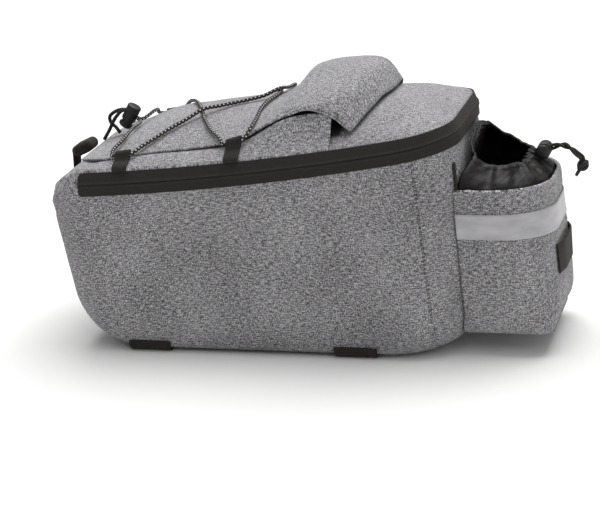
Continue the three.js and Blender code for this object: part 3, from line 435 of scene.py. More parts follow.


# Polyester melange in plain weave, dyed in the yarn: matt, and every thread has its own grey.
# lift shifts the cloth's whole tone and paints light and shade: the lid's copy is lighter than the walls'
# one, as lit from above
def heatherCloth(name, lift=-0.022, contrast=1.85):
    material, tree, shader = newMaterial(name, 0.93, sheen=0.12)
    t = heather["threadMm"]
    weft = clothNoise(tree, heather["slubMm"], t)
    warp = clothNoise(tree, t, 0.6 * heather["slubMm"])
    grain = clothNoise(tree, 0.75 * t, 0.75 * t, 1.0, 0.7)
    # Painted shade of soft wrinkles: broad noise that darkens and lightens the cloth in patches
    wrinkleShade = clothNoise(tree, heather["wrinkleShadeMm"], heather["wrinkleShadeMm"], 2.0)
    mixed = mathOf(tree, "MULTIPLY_ADD", weft, 0.34, mathOf(tree, "MULTIPLY_ADD", warp, 0.26, mathOf(
        tree, "MULTIPLY", grain, 0.8)))
    mixed = mathOf(tree, "MULTIPLY_ADD", wrinkleShade, 0.09, mathOf(tree, "SUBTRACT", mixed, 0.245))
    mixed = mathOf(tree, "MULTIPLY_ADD", mathOf(tree, "SUBTRACT", mixed, 0.5), contrast, 0.5 + lift)
    tree.links.new(rampOf(tree, mixed, heather["stops"]), shader.inputs["Base Color"])
    waveX, waveY = (clothRibs(tree, direction, t, 0.6) for direction in "XY")
    height = mathOf(tree, "MULTIPLY_ADD", grain, 1.2, mathOf(tree, "MULTIPLY", waveX, waveY))
    setBump(tree, shader, height, 0.22, 0.8)
    return material


# Woven polyester of one dark colour: tapes, webbing and the coated base. Ribs across the weave give it grain.
def wovenDark(name, dark, light, pitchMm, roughness, bumpMm=0.25, slantMm=None, sheen=0.05):
    material, tree, shader = newMaterial(name, roughness, sheen=sheen)
    ribs = clothRibs(tree, "DIAGONAL" if slantMm else "X", pitchMm, 0.4)
    rows = clothRibs(tree, "Y", slantMm or pitchMm, 0.5)
    wear = clothNoise(tree, 3.0, 1.2, 3.0)
    shade = mathOf(tree, "MULTIPLY_ADD", ribs, 0.3, mathOf(tree, "MULTIPLY_ADD", rows, 0.25, mathOf(
        tree, "MULTIPLY", wear, 0.5)))
    tree.links.new(rampOf(tree, shade, [(0.25, dark), (0.75, light)]), shader.inputs["Base Color"])
    setBump(tree, shader, mathOf(tree, "MULTIPLY_ADD", ribs, 0.6, rows), bumpMm)
    return material


# Thin calendered nylon: tight plain weave with a soft gloss, wrinkled in fine lines.
def shinyNylon(name):
    material, tree, shader = newMaterial(name, 0.45, ior=1.32)
    fine = clothNoise(tree, 0.8, 0.8, 2.0)
    folds = clothNoise(tree, 14.0, 30.0, 2.0)
    tree.links.new(rampOf(tree, fine, [(0.3, "#0f0d0c"), (0.7, "#1f1b19")]), shader.inputs["Base Color"])
    tree.links.new(mathOf(tree, "MULTIPLY_ADD", fine, 0.16, 0.33), shader.inputs["Roughness"])
    setBump(tree, shader, mathOf(tree, "MULTIPLY_ADD", folds, 2.5, mathOf(tree, "MULTIPLY", fine, 0.4)), 0.5)
    return material


# Braided cord: strands cross on the slant. The elastic lace has pairs of white tracer flecks.
def braidedCord(name, dark, light, pitchMm, fleckMm=None):
    material, tree, shader = newMaterial(name, 0.7, sheen=0.02)
    vector = threadsAt(tree, 1, 1)
    parts = addNode(tree, "ShaderNodeSeparateXYZ", inputs={"Vector": vector})
    along, around = parts.outputs[0], parts.outputs[1]
    plus = mathOf(tree, "SINE", mathOf(tree, "MULTIPLY", mathOf(tree, "ADD", along, around),
                                       2 * math.pi / pitchMm))
    minus = mathOf(tree, "SINE", mathOf(tree, "MULTIPLY", mathOf(tree, "SUBTRACT", along, around),
                                        2 * math.pi / pitchMm))
    braid = mathOf(tree, "MAXIMUM", plus, minus)
    base = rampOf(tree, mathOf(tree, "MULTIPLY_ADD", braid, 0.4, 0.5), [(0.2, dark), (0.9, light)])
    if fleckMm:
        turns = 2 * math.pi / fleckMm
        one = mathOf(tree, "SINE", mathOf(tree, "MULTIPLY", along, turns))
        two = mathOf(tree, "COSINE", mathOf(tree, "MULTIPLY", around, 2 * math.pi / 4.71))
        fleck = mathOf(tree, "GREATER_THAN", mathOf(tree, "MULTIPLY", one, two), 0.5)
        mixed = addNode(tree, "ShaderNodeMix", {"data_type": "RGBA"},
                        {"Factor": fleck, 6: base, 7: toLinear("#dedbd6")})
        base = mixed.outputs[2]
    tree.links.new(base, shader.inputs["Base Color"])
    setBump(tree, shader, braid, 0.25)
    return material


# Glass-bead reflective tape: satin grey, with a fine even grain.
def reflectiveTape(name):
    material, tree, shader = newMaterial(name, 0.38, metallic=0.25)
    grain = clothNoise(tree, 0.6, 0.6, 2.0)
    wear = clothNoise(tree, 26.0, 9.0, 3.0)
    shade = mathOf(tree, "MULTIPLY_ADD", grain, 0.35, mathOf(tree, "MULTIPLY", wear, 0.65))
    tree.links.new(rampOf(tree, shade, [(0.3, "#a5a3a7"), (0.7, "#c3c1c4")]), shader.inputs["Base Color"])
    tree.links.new(mathOf(tree, "MULTIPLY_ADD", wear, 0.2, 0.3), shader.inputs["Roughness"])
    setBump(tree, shader, mathOf(tree, "MULTIPLY_ADD", wear, 1.5, grain), 0.12)
    return material


# Acetal, injection moulded with a spark-eroded grain, or steel in black paint for the slider.
def hardBlack(name, dark, light, roughness, metallic=0.0, grainMm=0.35):
    material, tree, shader = newMaterial(name, roughness, metallic, 1.48 if metallic < 0.5 else 1.5)
    grain, wear = solidNoise(tree, grainMm, 2.0), solidNoise(tree, 6, 3.0)
    tree.links.new(rampOf(tree, wear, [(0.35, dark), (0.7, light)]), shader.inputs["Base Color"])
    tree.links.new(mathOf(tree, "MULTIPLY_ADD", wear, 0.2, roughness - 0.1), shader.inputs["Roughness"])
    setBump(tree, shader, grain, 0.05)
    return material


def plainThread(name, colour, roughness=0.6):
    material, tree, shader = newMaterial(name, roughness, sheen=0.1)
    twist = solidNoise(tree, 0.8, 1.0)
    shade = addNode(tree, "ShaderNodeHueSaturation", inputs={
        "Color": toLinear(colour), "Value": mathOf(tree, "MULTIPLY_ADD", twist, 0.8, 0.6)})
    tree.links.new(shade.outputs[0], shader.inputs["Base Color"])
    return material


greyCloth = heatherCloth("heatherPolyester")
# The lid's copy of the same cloth, painted lighter as lit from above, and with less contrast
toplitCloth = heatherCloth("heatherPolyesterToplit", 0.015, 1.15)
liningFilm = wovenDark("paleLiningFilm", "#9a9b9d", "#c3c4c6", 1.2, 0.35, 0.1)
zipCloth = wovenDark("wovenZipTape", "#120f0d", "#2a2520", 1.1, 0.85, 0.18, 0.9, sheen=0.02)
webbingCloth = wovenDark("wovenWebbing", "#120f0d", "#29241f", 1.3, 0.85, 0.3, 1.6, sheen=0.03)
baseCloth = wovenDark("coatedBaseCloth", "#1a1918", "#2d2b2a", 0.9, 0.6, 0.15)
hookCloth = wovenDark("hookTape", "#0f0e0d", "#3a3632", 0.9, 0.6, 0.5, 0.9)
nylonCloth = shinyNylon("calenderedNylon")
laceCord = braidedCord("elasticBraid", "#0a0908", "#1a1715", 1.6, 3.4)
blackCord = braidedCord("polyesterBraid", "#100f0e", "#2a2725", 1.4)
tapeCloth = reflectiveTape("glassBeadTape")
mouldedBlack = hardBlack("mouldedAcetal", "#131212", "#252322", 0.45)
paintedSteel = hardBlack("paintedSteel", "#1a1a1b", "#333334", 0.42, 0.7, 0.25)
coilBlack = plainThread("nylonCoil", "#1d1a18", 0.45)
darkThread = plainThread("darkThread", "#2a2726")
greyThread = plainThread("greyThread", "#b9b6b5")
print("stage: materials made")


# The bag's outline in plan, from the middle of the front through -Y to the rear and back
def outline(x0, x1, half, frontRadius, rearRadius, corner=14, side=110, end=10):
    x0, x1, half, frontRadius, rearRadius = (np.float64(v) for v in (x0, x1, half, frontRadius, rearRadius))
    fx, rx, fy, ry = x0 + frontRadius, x1 - rearRadius, half - frontRadius, half - rearRadius
    places, normals = [], []

    def straight(ax, ay, bx, by, nx, ny, steps):
        t = np.arange(steps)[:, None] / steps
        places.append(np.array([ax, ay]) * (1 - t) + np.array([bx, by]) * t)
        normals.append(np.tile([nx, ny], (steps, 1)))

    def turn(cx, cy, radius, start):
        angle = start + math.pi / 2 * np.arange(corner) / corner
        direction = np.stack([np.cos(angle), np.sin(angle)], axis=1)
        places.append(np.array([cx, cy]) + radius * direction)
        normals.append(direction)

    straight(x0, 0, x0, -fy, -1, 0, end)
    turn(fx, -fy, frontRadius, math.pi)
    straight(fx, -half, rx, -half, 0, -1, side)
    turn(rx, -ry, rearRadius, -math.pi / 2)
    straight(x1, -ry, x1, ry, 1, 0, 2 * end)
    turn(rx, ry, rearRadius, 0)
    straight(rx, half, fx, half, 0, 1, side)
    turn(fx, fy, frontRadius, math.pi / 2)
    straight(x0, fy, x0, 0, -1, 0, end)
    return np.concatenate(places), np.concatenate(normals).astype(float)


zipSizes = {
    "setback": 32.0, "heightFront": 141.5, "heightRear": 181.0, "startSlope": 3.3, "tapeWidth": 7.4,
    "coilWidth": 3.4, "lean": 3.5, "ribMm": 1.6, "endRound": 3.5,
}


def tangentOf(degrees):
    return math.tan(math.radians(degrees))


rimRearX = rearX - (zipSizes["heightRear"] - bag["rearHeel"]) * tangentOf(bag["rearLean"])
zipFrontX = frontX + zipSizes["setback"]
bandHalf = zipSizes["coilWidth"] / 2 + gap + zipSizes["tapeWidth"]
zipRun = rimRearX - zipFrontX
zipRise = tangentOf(zipSizes["startSlope"])
zipCurve = (zipSizes["heightRear"] - zipSizes["heightFront"] - zipRise * zipRun) / zipRun**2
hingeFall = zipSizes["heightFront"] - zipRise * zipSizes["setback"] - bag["hingeHeight"]
hingeDroop = hingeFall / zipSizes["setback"] ** 2


def zipHeight(x):
    run = np.asarray(x, float) - zipFrontX
    return zipSizes["heightFront"] + zipRise * run + np.where(run > 0, zipCurve, -hingeDroop) * run**2


def heel(height, radius):
    return radius - math.sqrt(radius**2 - (radius - height) ** 2) if height < radius else 0.0


def frontWallX(height):
    below = max(0, bag["hingeHeight"] - height)
    return frontX + below * tangentOf(bag["frontLean"]) + heel(height, bag["frontHeel"])


def rearWallX(height):
    above = max(0, height - bag["rearHeel"])
    return rearX - above * tangentOf(bag["rearLean"]) - heel(height, bag["rearHeel"])


def bodyOutline(share, inset=0.0, **steps):
    spread = (bag["rimWidth"] - bag["baseWidth"]) / 2 * share
    half = bag["baseWidth"] / 2 + spread - heel(share * float(zipHeight(0)), bag["sideHeel"]) - inset
    return outline(frontWallX(share * bag["hingeHeight"]) + inset,
                   rearWallX(share * zipSizes["heightRear"]) - inset,
                   half, bag["frontCorner"] - inset, bag["rearCorner"] - inset, **steps)


def bodyRing(share, inset=0.0, **steps):
    places, normals = bodyOutline(share, inset, **steps)
    span = zipHeight(places[:, 0]) - gap / 2 - bag["clearance"]
    return np.column_stack([places, bag["clearance"] + share * span]), normals


# Main compartment: padded walls that swell a little between the seams
softBody = {
    "swell": 1.5, "waveMm": 36.0, "waveDepth": 0.45, "seamDepth": 1.1, "seamWidth": 3.2,
    "seamTop": (131.5, 167.3), "seamFoot": (144.7, 15.3),
    "crease": ((151.0, 96.0), (163.0, 42.0)), "creaseDepth": 2.4, "creaseWidth": 6.0, "cap": 1.6,
}


def seamX(z):
    (xt, zt), (xf, zf) = softBody["seamTop"], softBody["seamFoot"]
    return xt + (np.asarray(z) - zt) * (xf - xt) / (zf - zt)


def wallSwell(points, normals, share):
    x, y, z = points.T
    sideOn = np.clip(np.abs(normals[:, 1]) * 1.4 - 0.4, 0, 1)
    up = smooth((share - 0.04) / 0.2) * smooth((zipHeight(x) - bandHalf - 4 - z) / 18)
    swell = softBody["swell"] * up * sideOn * np.clip(1 - ((x + 12) / 170) ** 2, 0, 1)
    wave = softBody["waveDepth"] * up * ripple(x + 0.3 * y, z, softBody["waveMm"], 0.4)
    nearSeam = np.exp(-((x - seamX(z)) / softBody["seamWidth"]) ** 2)
    seam = -softBody["seamDepth"] * nearSeam * sideOn * smooth(share / 0.08)
    (ax, az), (bx, bz) = softBody["crease"]
    t = np.clip(((x - ax) * (bx - ax) + (z - az) * (bz - az)) / ((bx - ax) ** 2 + (bz - az) ** 2), 0, 1)
    away = ((x - ax) * (bz - az) - (z - az) * (bx - ax)) / math.hypot(bx - ax, bz - az)
    ends = np.hypot(x - ax - t * (bx - ax), z - az - t * (bz - az))
    fold = np.exp(-(ends / softBody["creaseWidth"]) ** 2) * (y < 0) * (x > seamX(z) + 4)
    fold = -softBody["creaseDepth"] * fold * (1 - 0.5 * np.tanh(away / 3))
    clearOfPocket = smooth((168 - x) / 8)
    return (swell + wave + fold) * clearOfPocket + seam


bodyShares = np.concatenate([np.linspace(0, 0.06, 7), np.linspace(0.08, 0.3, 12), np.linspace(0.32, 1, 42)])


def makeBody():
    outer, directions = [], []
    for share in bodyShares:
        ring, normals = bodyRing(share)
        out = wallSwell(ring, normals, share)
        outer.append(ring + np.column_stack([normals, np.zeros(len(normals))]) * out[:, None])
        directions.append(normals)
    outer = np.array(outer)
    x, y, z = outer[..., 0], outer[..., 1], outer[..., 2]
    band = smooth((z - (zipHeight(x) - bandHalf - 7)) / 4)
    foot = 1 - smooth((bodyShares[:, None] - 0.03) / 0.05)
    seam = np.exp(-((x - seamX(z)) / 4) ** 2) * (np.abs(y) > 60)
    pocket = smooth((x - 158) / 8) * (np.abs(y) < 74)
    pinned = np.clip(np.maximum.reduce([band, np.broadcast_to(foot, x.shape), seam, pocket]), 0, 1)
    wide, pins = wrapped(outer), wrapped(pinned)
    pins[:, 0] = pins[:, -1] = 1.0
    outer = relaxed(wide, pins, softBody["cap"], None, pressure=1.5, slack=0.01)[:, :-1]
    inner = [bodyRing(share, bag["wall"])[0] for share in (1, 0.8, 0.6, 0.4, 0.25, 0.15, 0.08)]
    floor = bodyRing(0.04, bag["wall"])[0]
    floor[:, 2] = bag["clearance"] + bag["wall"]
    under = bodyRing(0.0, 7.0 - gap)[0]
    under[:, 2] = bag["clearance"]
    raised = under + np.array([0, 0, 2.0 + gap])
    rings = np.array([raised, under, *outer, *inner, floor])
    uv = threadUv(rings, closed=True)
    body = skinPiece("bodyWall", rings, uv, greyCloth, liningFilm, 2 + len(bodyShares))
    dress(body, "body_shell")


makeBody()
print("stage: main compartment made")


# Place on the outer wall: how far out of the plain wall it lies, for pieces and stitches that follow it
def wallPoint(x, z, side, out=0.0):
    share = (z - bag["clearance"]) / (float(zipHeight(x)) - gap / 2 - bag["clearance"])
    ring, normals = bodyRing(min(1.0, share))
    half = slice(0, len(ring) // 2) if side < 0 else slice(len(ring) // 2, len(ring))
    order = np.argsort(ring[half, 0])
    y = np.interp(x, ring[half, 0][order], ring[half, 1][order])
    n = np.array([np.interp(x, ring[half, 0][order], normals[half, k][order]) for k in (0, 1)])
    point = np.array([[x, y, z]])
    out = out + wallSwell(point, n[None], share)[0]
    return np.array([x + n[0] * out, y + n[1] * out, z])


# Lid: a padded dome with a crowned top
lid = {"thickness": 4.0, "crown": 24.0, "frontRun": 110.0, "rearRun": 90.0, "frontRamp": 100.0,
       "roundness": 2.0,
       "waveDepth": 0.35, "waveMm": 40.0}


def domeRise(x, inset):
    share = 1 - (1 - np.clip(inset, 0, 1)) ** lid["roundness"]
    return lid["crown"] * share * smooth((x - frontX) / lid["frontRamp"])


def lidHeight(x, y):
    x, y = np.asarray(x, float), np.asarray(y, float)
    side = 1 - np.abs(y) / (bag["rimWidth"] / 2 - zipSizes["lean"])
    rear = (rimRearX - zipSizes["lean"] - x) / (lid["rearRun"] - zipSizes["lean"])
    front = (x - frontX - zipSizes["lean"]) / (lid["frontRun"] - zipSizes["lean"])
    inset = np.clip(np.minimum(np.minimum(side, rear), front), 0, 1)
    return zipHeight(x) + bandHalf + domeRise(x, inset)


def lidRing(inset, draw=0.0, drop=0.0):
    keep, edge = 1 - inset, zipSizes["lean"] + draw
    places, _ = outline(frontX + edge + inset * (lid["frontRun"] - edge),
                        rimRearX - edge - inset * (lid["rearRun"] - edge),
                        (bag["rimWidth"] / 2 - edge) * keep, (bag["frontCorner"] - edge) * keep,
                        (bag["rearCorner"] - edge) * keep)
    height = zipHeight(places[:, 0]) + bandHalf + domeRise(places[:, 0], inset) - drop
    return np.column_stack([places, height])


def makeLid():
    insets = np.concatenate([[0], np.linspace(0.015, 0.3, 16), np.linspace(0.33, 0.97, 26)])
    dome = np.array([lidRing(i) for i in insets])
    free = smooth((dome[..., 0] - 92) / 20)  # behind the cover's rear edge the padding may swell
    dome[..., 2] += lid["waveDepth"] * ripple(dome[..., 0], dome[..., 1], lid["waveMm"],
                                              1.3) * smooth(insets / 0.2)[:, None]
    pins = np.zeros(dome.shape[:2])
    pins[:2] = 1.0
    wide, pinsWide = wrapped(dome), wrapped(pins)
    pinsWide[:, 0] = pinsWide[:, -1] = 1.0
    cap = 0.3 + 1.5 * wrapped(free)
    dome = relaxed(wide, pinsWide, cap, (0, 0, 1), pressure=1.5, slack=0.008)[:, :-1]
    rims = []
    for share in (0.0, 0.25, 0.5, 0.75):
        outer, normals = bodyOutline(1.0, zipSizes["lean"] * share)
        rimHeight = zipHeight(outer[:, 0]) - gap / 2 + (bandHalf + gap / 2) * share
        rims.append(np.column_stack([outer, rimHeight]))
    inner = np.array([lidRing(i, lid["thickness"], lid["thickness"]) for i in (0.92, 0.64, 0.34, 0.12, 0)])
    foot, _ = bodyOutline(1.0, lid["thickness"])
    foot = np.column_stack([foot, zipHeight(foot[:, 0]) + gap / 2])
    rings = np.array([*dome[::-1], *rims[::-1], foot, *inner[::-1]])
    uv = wrapped(rings)[..., :2].copy()
    shell = skinPiece("lidDome", rings, uv, toplitCloth, liningFilm, len(dome) + len(rims))
    dress(shell, "lid_shell")


makeLid()
print("stage: lid made")

# Cover on the lid, with a loose rear flap. Shares along it, of its half width, and of the flap's rise in the
# middle and at the edge.
cover = {
    "setback": 20.5, "length": 240.5, "width": 138.0, "thickness": 1.8, "flare": 3.0, "skew": 6.0,
    "bow": 16.0, "rise": 25.0,
    "gussetLength": 218.5, "flapStart": 0.68, "hookWidth": 20.0, "hookThickness": 1.2, "gussetGap": 0.9,
    "cap": 0.7,
}
coverStops = [0, 0.03, 0.08, 0.15, 0.26, 0.38, 0.5, 0.6, 0.68, 0.73, 0.78, 0.83, 0.88, 0.93, 0.97, 1]
coverWidths = [0.62, 0.78, 0.93, 1, 1, 1, 1, 1, 1, 1, 1, 1, 1, 1, 1, 1]
coverMiddles = [0, 0, 0, 0, 0.04, 0.1, 0.13, 0.13, 0.15, 0.4, 0.92, 1, 0.98, 0.88, 0.58, 0.06]
coverEdges = [0, 0, 0, 0, 0, 0, 0.04, 0.18, 0.5, 0.7, 0.8, 0.82, 0.76, 0.6, 0.28, 0]
coverFrontX = frontX + cover["setback"]


def coverLift(along, across):
    along = np.clip(along, 0, 1)
    middle, edge = between(coverStops, coverMiddles, along), between(coverStops, coverEdges, along)
    return cover["rise"] * (edge + (middle - edge) * (1 - across**2))


def coverBed(along):
    rear = cover["hookThickness"] + 2 * gap
    return 3 * gap + (rear - 3 * gap) * smooth(np.asarray(along) / cover["flapStart"])


def coverHeight(x, y):
    along = (np.asarray(x, float) - coverFrontX) / cover["length"]
    across = np.minimum(1, np.abs(y) / (cover["width"] / 2))
    return lidHeight(x, y) + coverBed(along) + coverLift(along, across)


def coverGrid():
    alongs = np.concatenate([np.linspace(0, 0.66, 66), np.linspace(0.67, 1, 64)])
    acrosses = np.sin(np.linspace(-1, 1, 81) * math.pi / 2 * 0.92) / math.sin(math.pi / 2 * 0.92)
    a, c = np.meshgrid(alongs, acrosses, indexing="ij")
    loose = smooth((a - cover["flapStart"]) / (1 - cover["flapStart"]))
    half = cover["width"] / 2 * between(coverStops, coverWidths, a) + cover["flare"] * loose
    x = coverFrontX + cover["length"] * a + (cover["skew"] * c + cover["bow"] * (1 - c**2)) * loose
    y = half * c
    z = lidHeight(x, y) + coverBed(a) + coverLift(a, np.abs(c)) + cover["thickness"]
    slack = (0.12 + 0.5 * loose) * (1 + ripple(x, y, 22, 2.2))
    z = z + slack * smooth((1 - np.abs(c)) / 0.08) * smooth(a / 0.04) * smooth((1 - a) / 0.03)
    return np.stack([x, y, z], axis=2), a, c


def makeCover():
    grid, a, c = coverGrid()
    flat = grid.copy()
    pins = np.clip(1 - 0.98 * smooth((a - 0.62) / 0.1) * smooth((0.985 - a) / 0.03), 0, 1)
    pins = np.minimum(
        pins, 1 - 0.9 * smooth((0.9 - np.abs(c)) / 0.2) * smooth(a / 0.06) * smooth((0.98 - a) / 0.04))
    cap = cover["cap"] + 1.6 * smooth((a - 0.66) / 0.1)
    grid = relaxed(grid, pins, cap, (0, 0, 1), pressure=0.6, slack=0.015)
    lowest = flat[..., 2] - 0.1 - 0.8 * smooth((a - 0.7) / 0.1)
    grid[..., 2] = np.maximum(grid[..., 2], lowest)
    uv = np.stack([grid[..., 0], grid[..., 1]], axis=2) + 300
    piece = sheetPiece("lidCover", grid, cover["thickness"], toplitCloth, (0, 0, 1), uv)
    dress(piece, "lid_cover")
    return grid


coverSurface = makeCover()


# The cover's upper face at a place in plan, read from the finished sheet
def coverTop(x, y):
    rows = coverSurface[:, coverSurface.shape[1] // 2, 0]
    i = int(np.clip(np.searchsorted(rows, x) - 1, 0, len(rows) - 2))
    t = (x - rows[i]) / (rows[i + 1] - rows[i])
    heights = [np.interp(y, coverSurface[k, :, 1], coverSurface[k, :, 2]) for k in (i, i + 1)]
    return heights[0] * (1 - t) + heights[1] * t


gussetOuterY = bag["rimWidth"] / 2 - zipSizes["lean"] - 0.5
gussetInnerY = cover["width"] / 2 + gap


def gussetHeight(x, y):
    climb = np.clip((gussetOuterY - np.abs(y)) / (gussetOuterY - gussetInnerY), 0, 2)
    lift = np.maximum(0, coverLift((np.asarray(x) - coverFrontX) / cover["length"], 1) - cover["thickness"])
    return lidHeight(x, y) + cover["gussetGap"] + lift * climb**1.5


def makeGussets():
    startX, endX = frontX + bag["frontCorner"], coverFrontX + cover["gussetLength"]
    for side, place in ((-1, "near"), (1, "far")):
        x, t = np.meshgrid(np.linspace(startX, endX, 90), np.linspace(0, 1, 12), indexing="ij")
        y = gussetOuterY + (gussetInnerY - gussetOuterY) * t
        z = gussetHeight(x, y) + cover["thickness"]
        sag = smooth((x - 20) / 40) * np.sin(np.pi * t)
        z = z - 1.2 * sag * (0.5 + 0.5 * np.sin(x / 9.0)) * smooth((endX - x) / 10)
        crease = 1.3 * smooth((t - 0.7) / 0.3)  # it dips where the cover folds over
        z = z - crease
        grid = np.stack([x, y, z], axis=2)
        hem = zipHeight(x[:, :1]) + bandHalf  # its outer edge turns down to the tape
        turned = [np.dstack([x[:, :1], np.full_like(hem, gussetOuterY + out), hem + up])
                  for out, up in ((1.75, 0.15), (1.6, 1.2), (1.0, 2.3))]
        grid = np.concatenate([*turned, grid], axis=1) * (1, side, 1)
        depth = np.hstack([np.tile([0.5, 0.7, 1.2], (len(x), 1)), cover["thickness"] - crease])
        uv = grid[..., :2] + (0, 40 * side)
        piece = sheetPiece(f"gusset{place.title()}", grid, depth, toplitCloth, (0, 0, 1), uv)
        dress(piece, f"gusset_{place}")


makeGussets()


def makeHookStrip():
    c, s = np.meshgrid(np.linspace(-1, 1, 110), np.linspace(0, 1, 16), indexing="xy")
    half = cover["width"] / 2 + cover["flare"] / 2
    x = coverFrontX + cover["length"] - 1.5 * cover["hookWidth"] + cover["skew"] * c + cover["hookWidth"] * s
    y = half * c
    z = lidHeight(x, y) + gap + cover["hookThickness"] + 0.3
    face = np.stack([x, y, z], axis=2)
    piece = sheetPiece("hookStrip", face, cover["hookThickness"], hookCloth, (0, 0, 1))
    dress(piece, "hook_strip")
    return face


hookFace = makeHookStrip()
print("stage: cover and gussets made")


# Zip: two tapes that nearly meet over the coil, whose ribs press through them
def zipLine(up, out):
    share = min(1.0, 1 + up / float(zipHeight(0)))
    places, normals = bodyOutline(share, max(0.0, up / bandHalf) * zipSizes["lean"])
    keep = places[:, 0] > zipFrontX + zipSizes["endRound"] + 0.5
    half = np.abs(places[:, 1]).max()
    line = np.vstack([[zipFrontX, -half], places[keep], [zipFrontX, half]])
    n = np.vstack([[0, -1], normals[keep], [0, 1]])
    line = line + n * out
    return np.column_stack([line, zipHeight(line[:, 0]) + up])


def makeZip():
    for name, node, ups in (("zipTapeLow", "zip_tape_body",
                             np.concatenate([np.linspace(-bandHalf, -3.2, 9), np.linspace(-2.8, -0.16, 9)])),
                            ("zipTapeHigh", "zip_tape_lid",
                             np.concatenate([np.linspace(0.16, 2.8, 9), np.linspace(3.2, bandHalf, 9)]))):
        lines = []
        for up in ups:
            over = smooth((2.9 - abs(up)) / 1.4)
            line = zipLine(up, 1.5 + 0.6 * over - 0.45 * smooth((0.9 - abs(up)) / 0.7))
            past = max(0.0, abs(up) - bandHalf + zipSizes["endRound"])
            cut = zipSizes["endRound"] - math.sqrt(zipSizes["endRound"] ** 2 - past**2)
            line[[0, -1], 0] += cut  # the ends of the band are rounded
            lines.append(line)
        grid = np.array([evenCount(line, 900) for line in lines])
        piece = sheetPiece(name, grid, 0.9, zipCloth, None)
        dress(piece, node)


makeZip()


# What repeats along a line or over a surface is made by Geometry Nodes: the points of the input, a small
# shape on each, then real geometry with its finish.
def newTree(name, sizes):
    tree = bpy.data.node_groups.new(name, "GeometryNodeTree")
    tree.interface.new_socket("Geometry", in_out="INPUT", socket_type="NodeSocketGeometry")
    for label, kind, value in sizes:
        made = tree.interface.new_socket(label, in_out="INPUT", socket_type=f"NodeSocket{kind}")
        if value is not None:
            made.default_value = value
    tree.interface.new_socket("Geometry", in_out="OUTPUT", socket_type="NodeSocketGeometry")
    return tree, addNode(tree, "NodeGroupInput").outputs


def endTree(tree, geometry, finish):
    real = addNode(tree, "GeometryNodeRealizeInstances", inputs={0: geometry})
    painted = addNode(tree, "GeometryNodeSetMaterial",
                      inputs={"Geometry": real.outputs[0], "Material": finish})
    addNode(tree, "NodeGroupOutput", inputs={0: painted.outputs[0]})
    return tree


# Small rounded lengths laid end to end along lines: stitches, and the coil of the zip turned across its line
def stitchTree():
    tree, given = newTree("stitchRow", [
        ("Pitch", "Float", 0.003), ("Length", "Float", 0.0022), ("Thickness", "Float", 0.0006),
        ("Jitter", "Float", 0.1), ("Seed", "Int", 7), ("Finish", "Material", None)])
    curve = addNode(tree, "GeometryNodeMeshToCurve", inputs={0: given["Geometry"]})
    points = addNode(tree, "GeometryNodeCurveToPoints", {"mode": "LENGTH"},
                     {"Curve": curve.outputs[0], "Length": given["Pitch"]})
    turn = addNode(tree, "FunctionNodeAlignRotationToVector", {"axis": "X"},
                   {"Vector": points.outputs["Tangent"]})
    ball = addNode(tree, "GeometryNodeMeshIcoSphere", inputs={"Radius": 0.5, "Subdivisions": 2})
    size = addNode(tree, "ShaderNodeCombineXYZ", inputs={
        "X": given["Length"], "Y": given["Thickness"], "Z": given["Thickness"]})
    wander = addNode(tree, "FunctionNodeRandomValue", {"data_type": "FLOAT"}, {"Seed": given["Seed"]})
    scatter = mathOf(tree, "MULTIPLY_ADD", wander.outputs[1], given["Jitter"], 0.95)
    scale = addNode(tree, "ShaderNodeVectorMath", {"operation": "SCALE"},
                    {0: size.outputs[0], "Scale": scatter})
    placed = addNode(tree, "GeometryNodeInstanceOnPoints", inputs={
        "Points": points.outputs["Points"], "Instance": ball.outputs["Mesh"], "Rotation": turn.outputs[0],
        "Scale": scale.outputs[0]})
    return endTree(tree, placed.outputs[0], given["Finish"])


# Small hooks standing on every point of a surface
def hookTree():
    tree, given = newTree("hookField", [
        ("Height", "Float", 0.0008), ("Thickness", "Float", 0.0004), ("Seed", "Int", 3),
        ("Finish", "Material", None)])
    post = addNode(tree, "GeometryNodeMeshCone", inputs={
        "Vertices": 5, "Side Segments": 1, "Radius Top": 0.6, "Radius Bottom": 0.35, "Depth": 1.0})
    size = addNode(tree, "ShaderNodeCombineXYZ", inputs={
        "X": given["Thickness"], "Y": given["Thickness"], "Z": given["Height"]})
    wander = addNode(tree, "FunctionNodeRandomValue", {"data_type": "FLOAT_VECTOR"},
                     {0: (-0.3, -0.3, -3.1), 1: (0.3, 0.3, 3.1), "Seed": given["Seed"]})
    placed = addNode(tree, "GeometryNodeInstanceOnPoints", inputs={
        "Points": given["Geometry"], "Instance": post.outputs["Mesh"], "Rotation": wander.outputs[0],
        "Scale": size.outputs[0]})
    return endTree(tree, placed.outputs[0], given["Finish"])


stitchRow, hookField = stitchTree(), hookTree()


def grown(name, tree, lines, inputs, joined=True):
    points, edges = [], []
    for line in lines:
        start = len(points)
        points += [tuple(p) for p in shared(line)]
        if joined:
            edges += [(k, k + 1) for k in range(start, len(points) - 1)]
    seed = bpy.data.meshes.new(name)
    seed.from_pydata(points, edges, [])
    carrier = linked(name + "Lines", seed)
    modifier = carrier.modifiers.new("grow", "NODES")
    modifier.node_group = tree
    for item in tree.interface.items_tree:
        if item.item_type == "SOCKET" and item.in_out == "INPUT" and item.name in inputs:
            modifier[item.identifier] = inputs[item.name]
    bpy.context.view_layer.update()
    mesh = baked(carrier)
    mesh.name = name
    smoothShaded(mesh)
    bpy.data.objects.remove(carrier)
    piece = linked(name, mesh)
    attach(piece, "bag")
    return piece


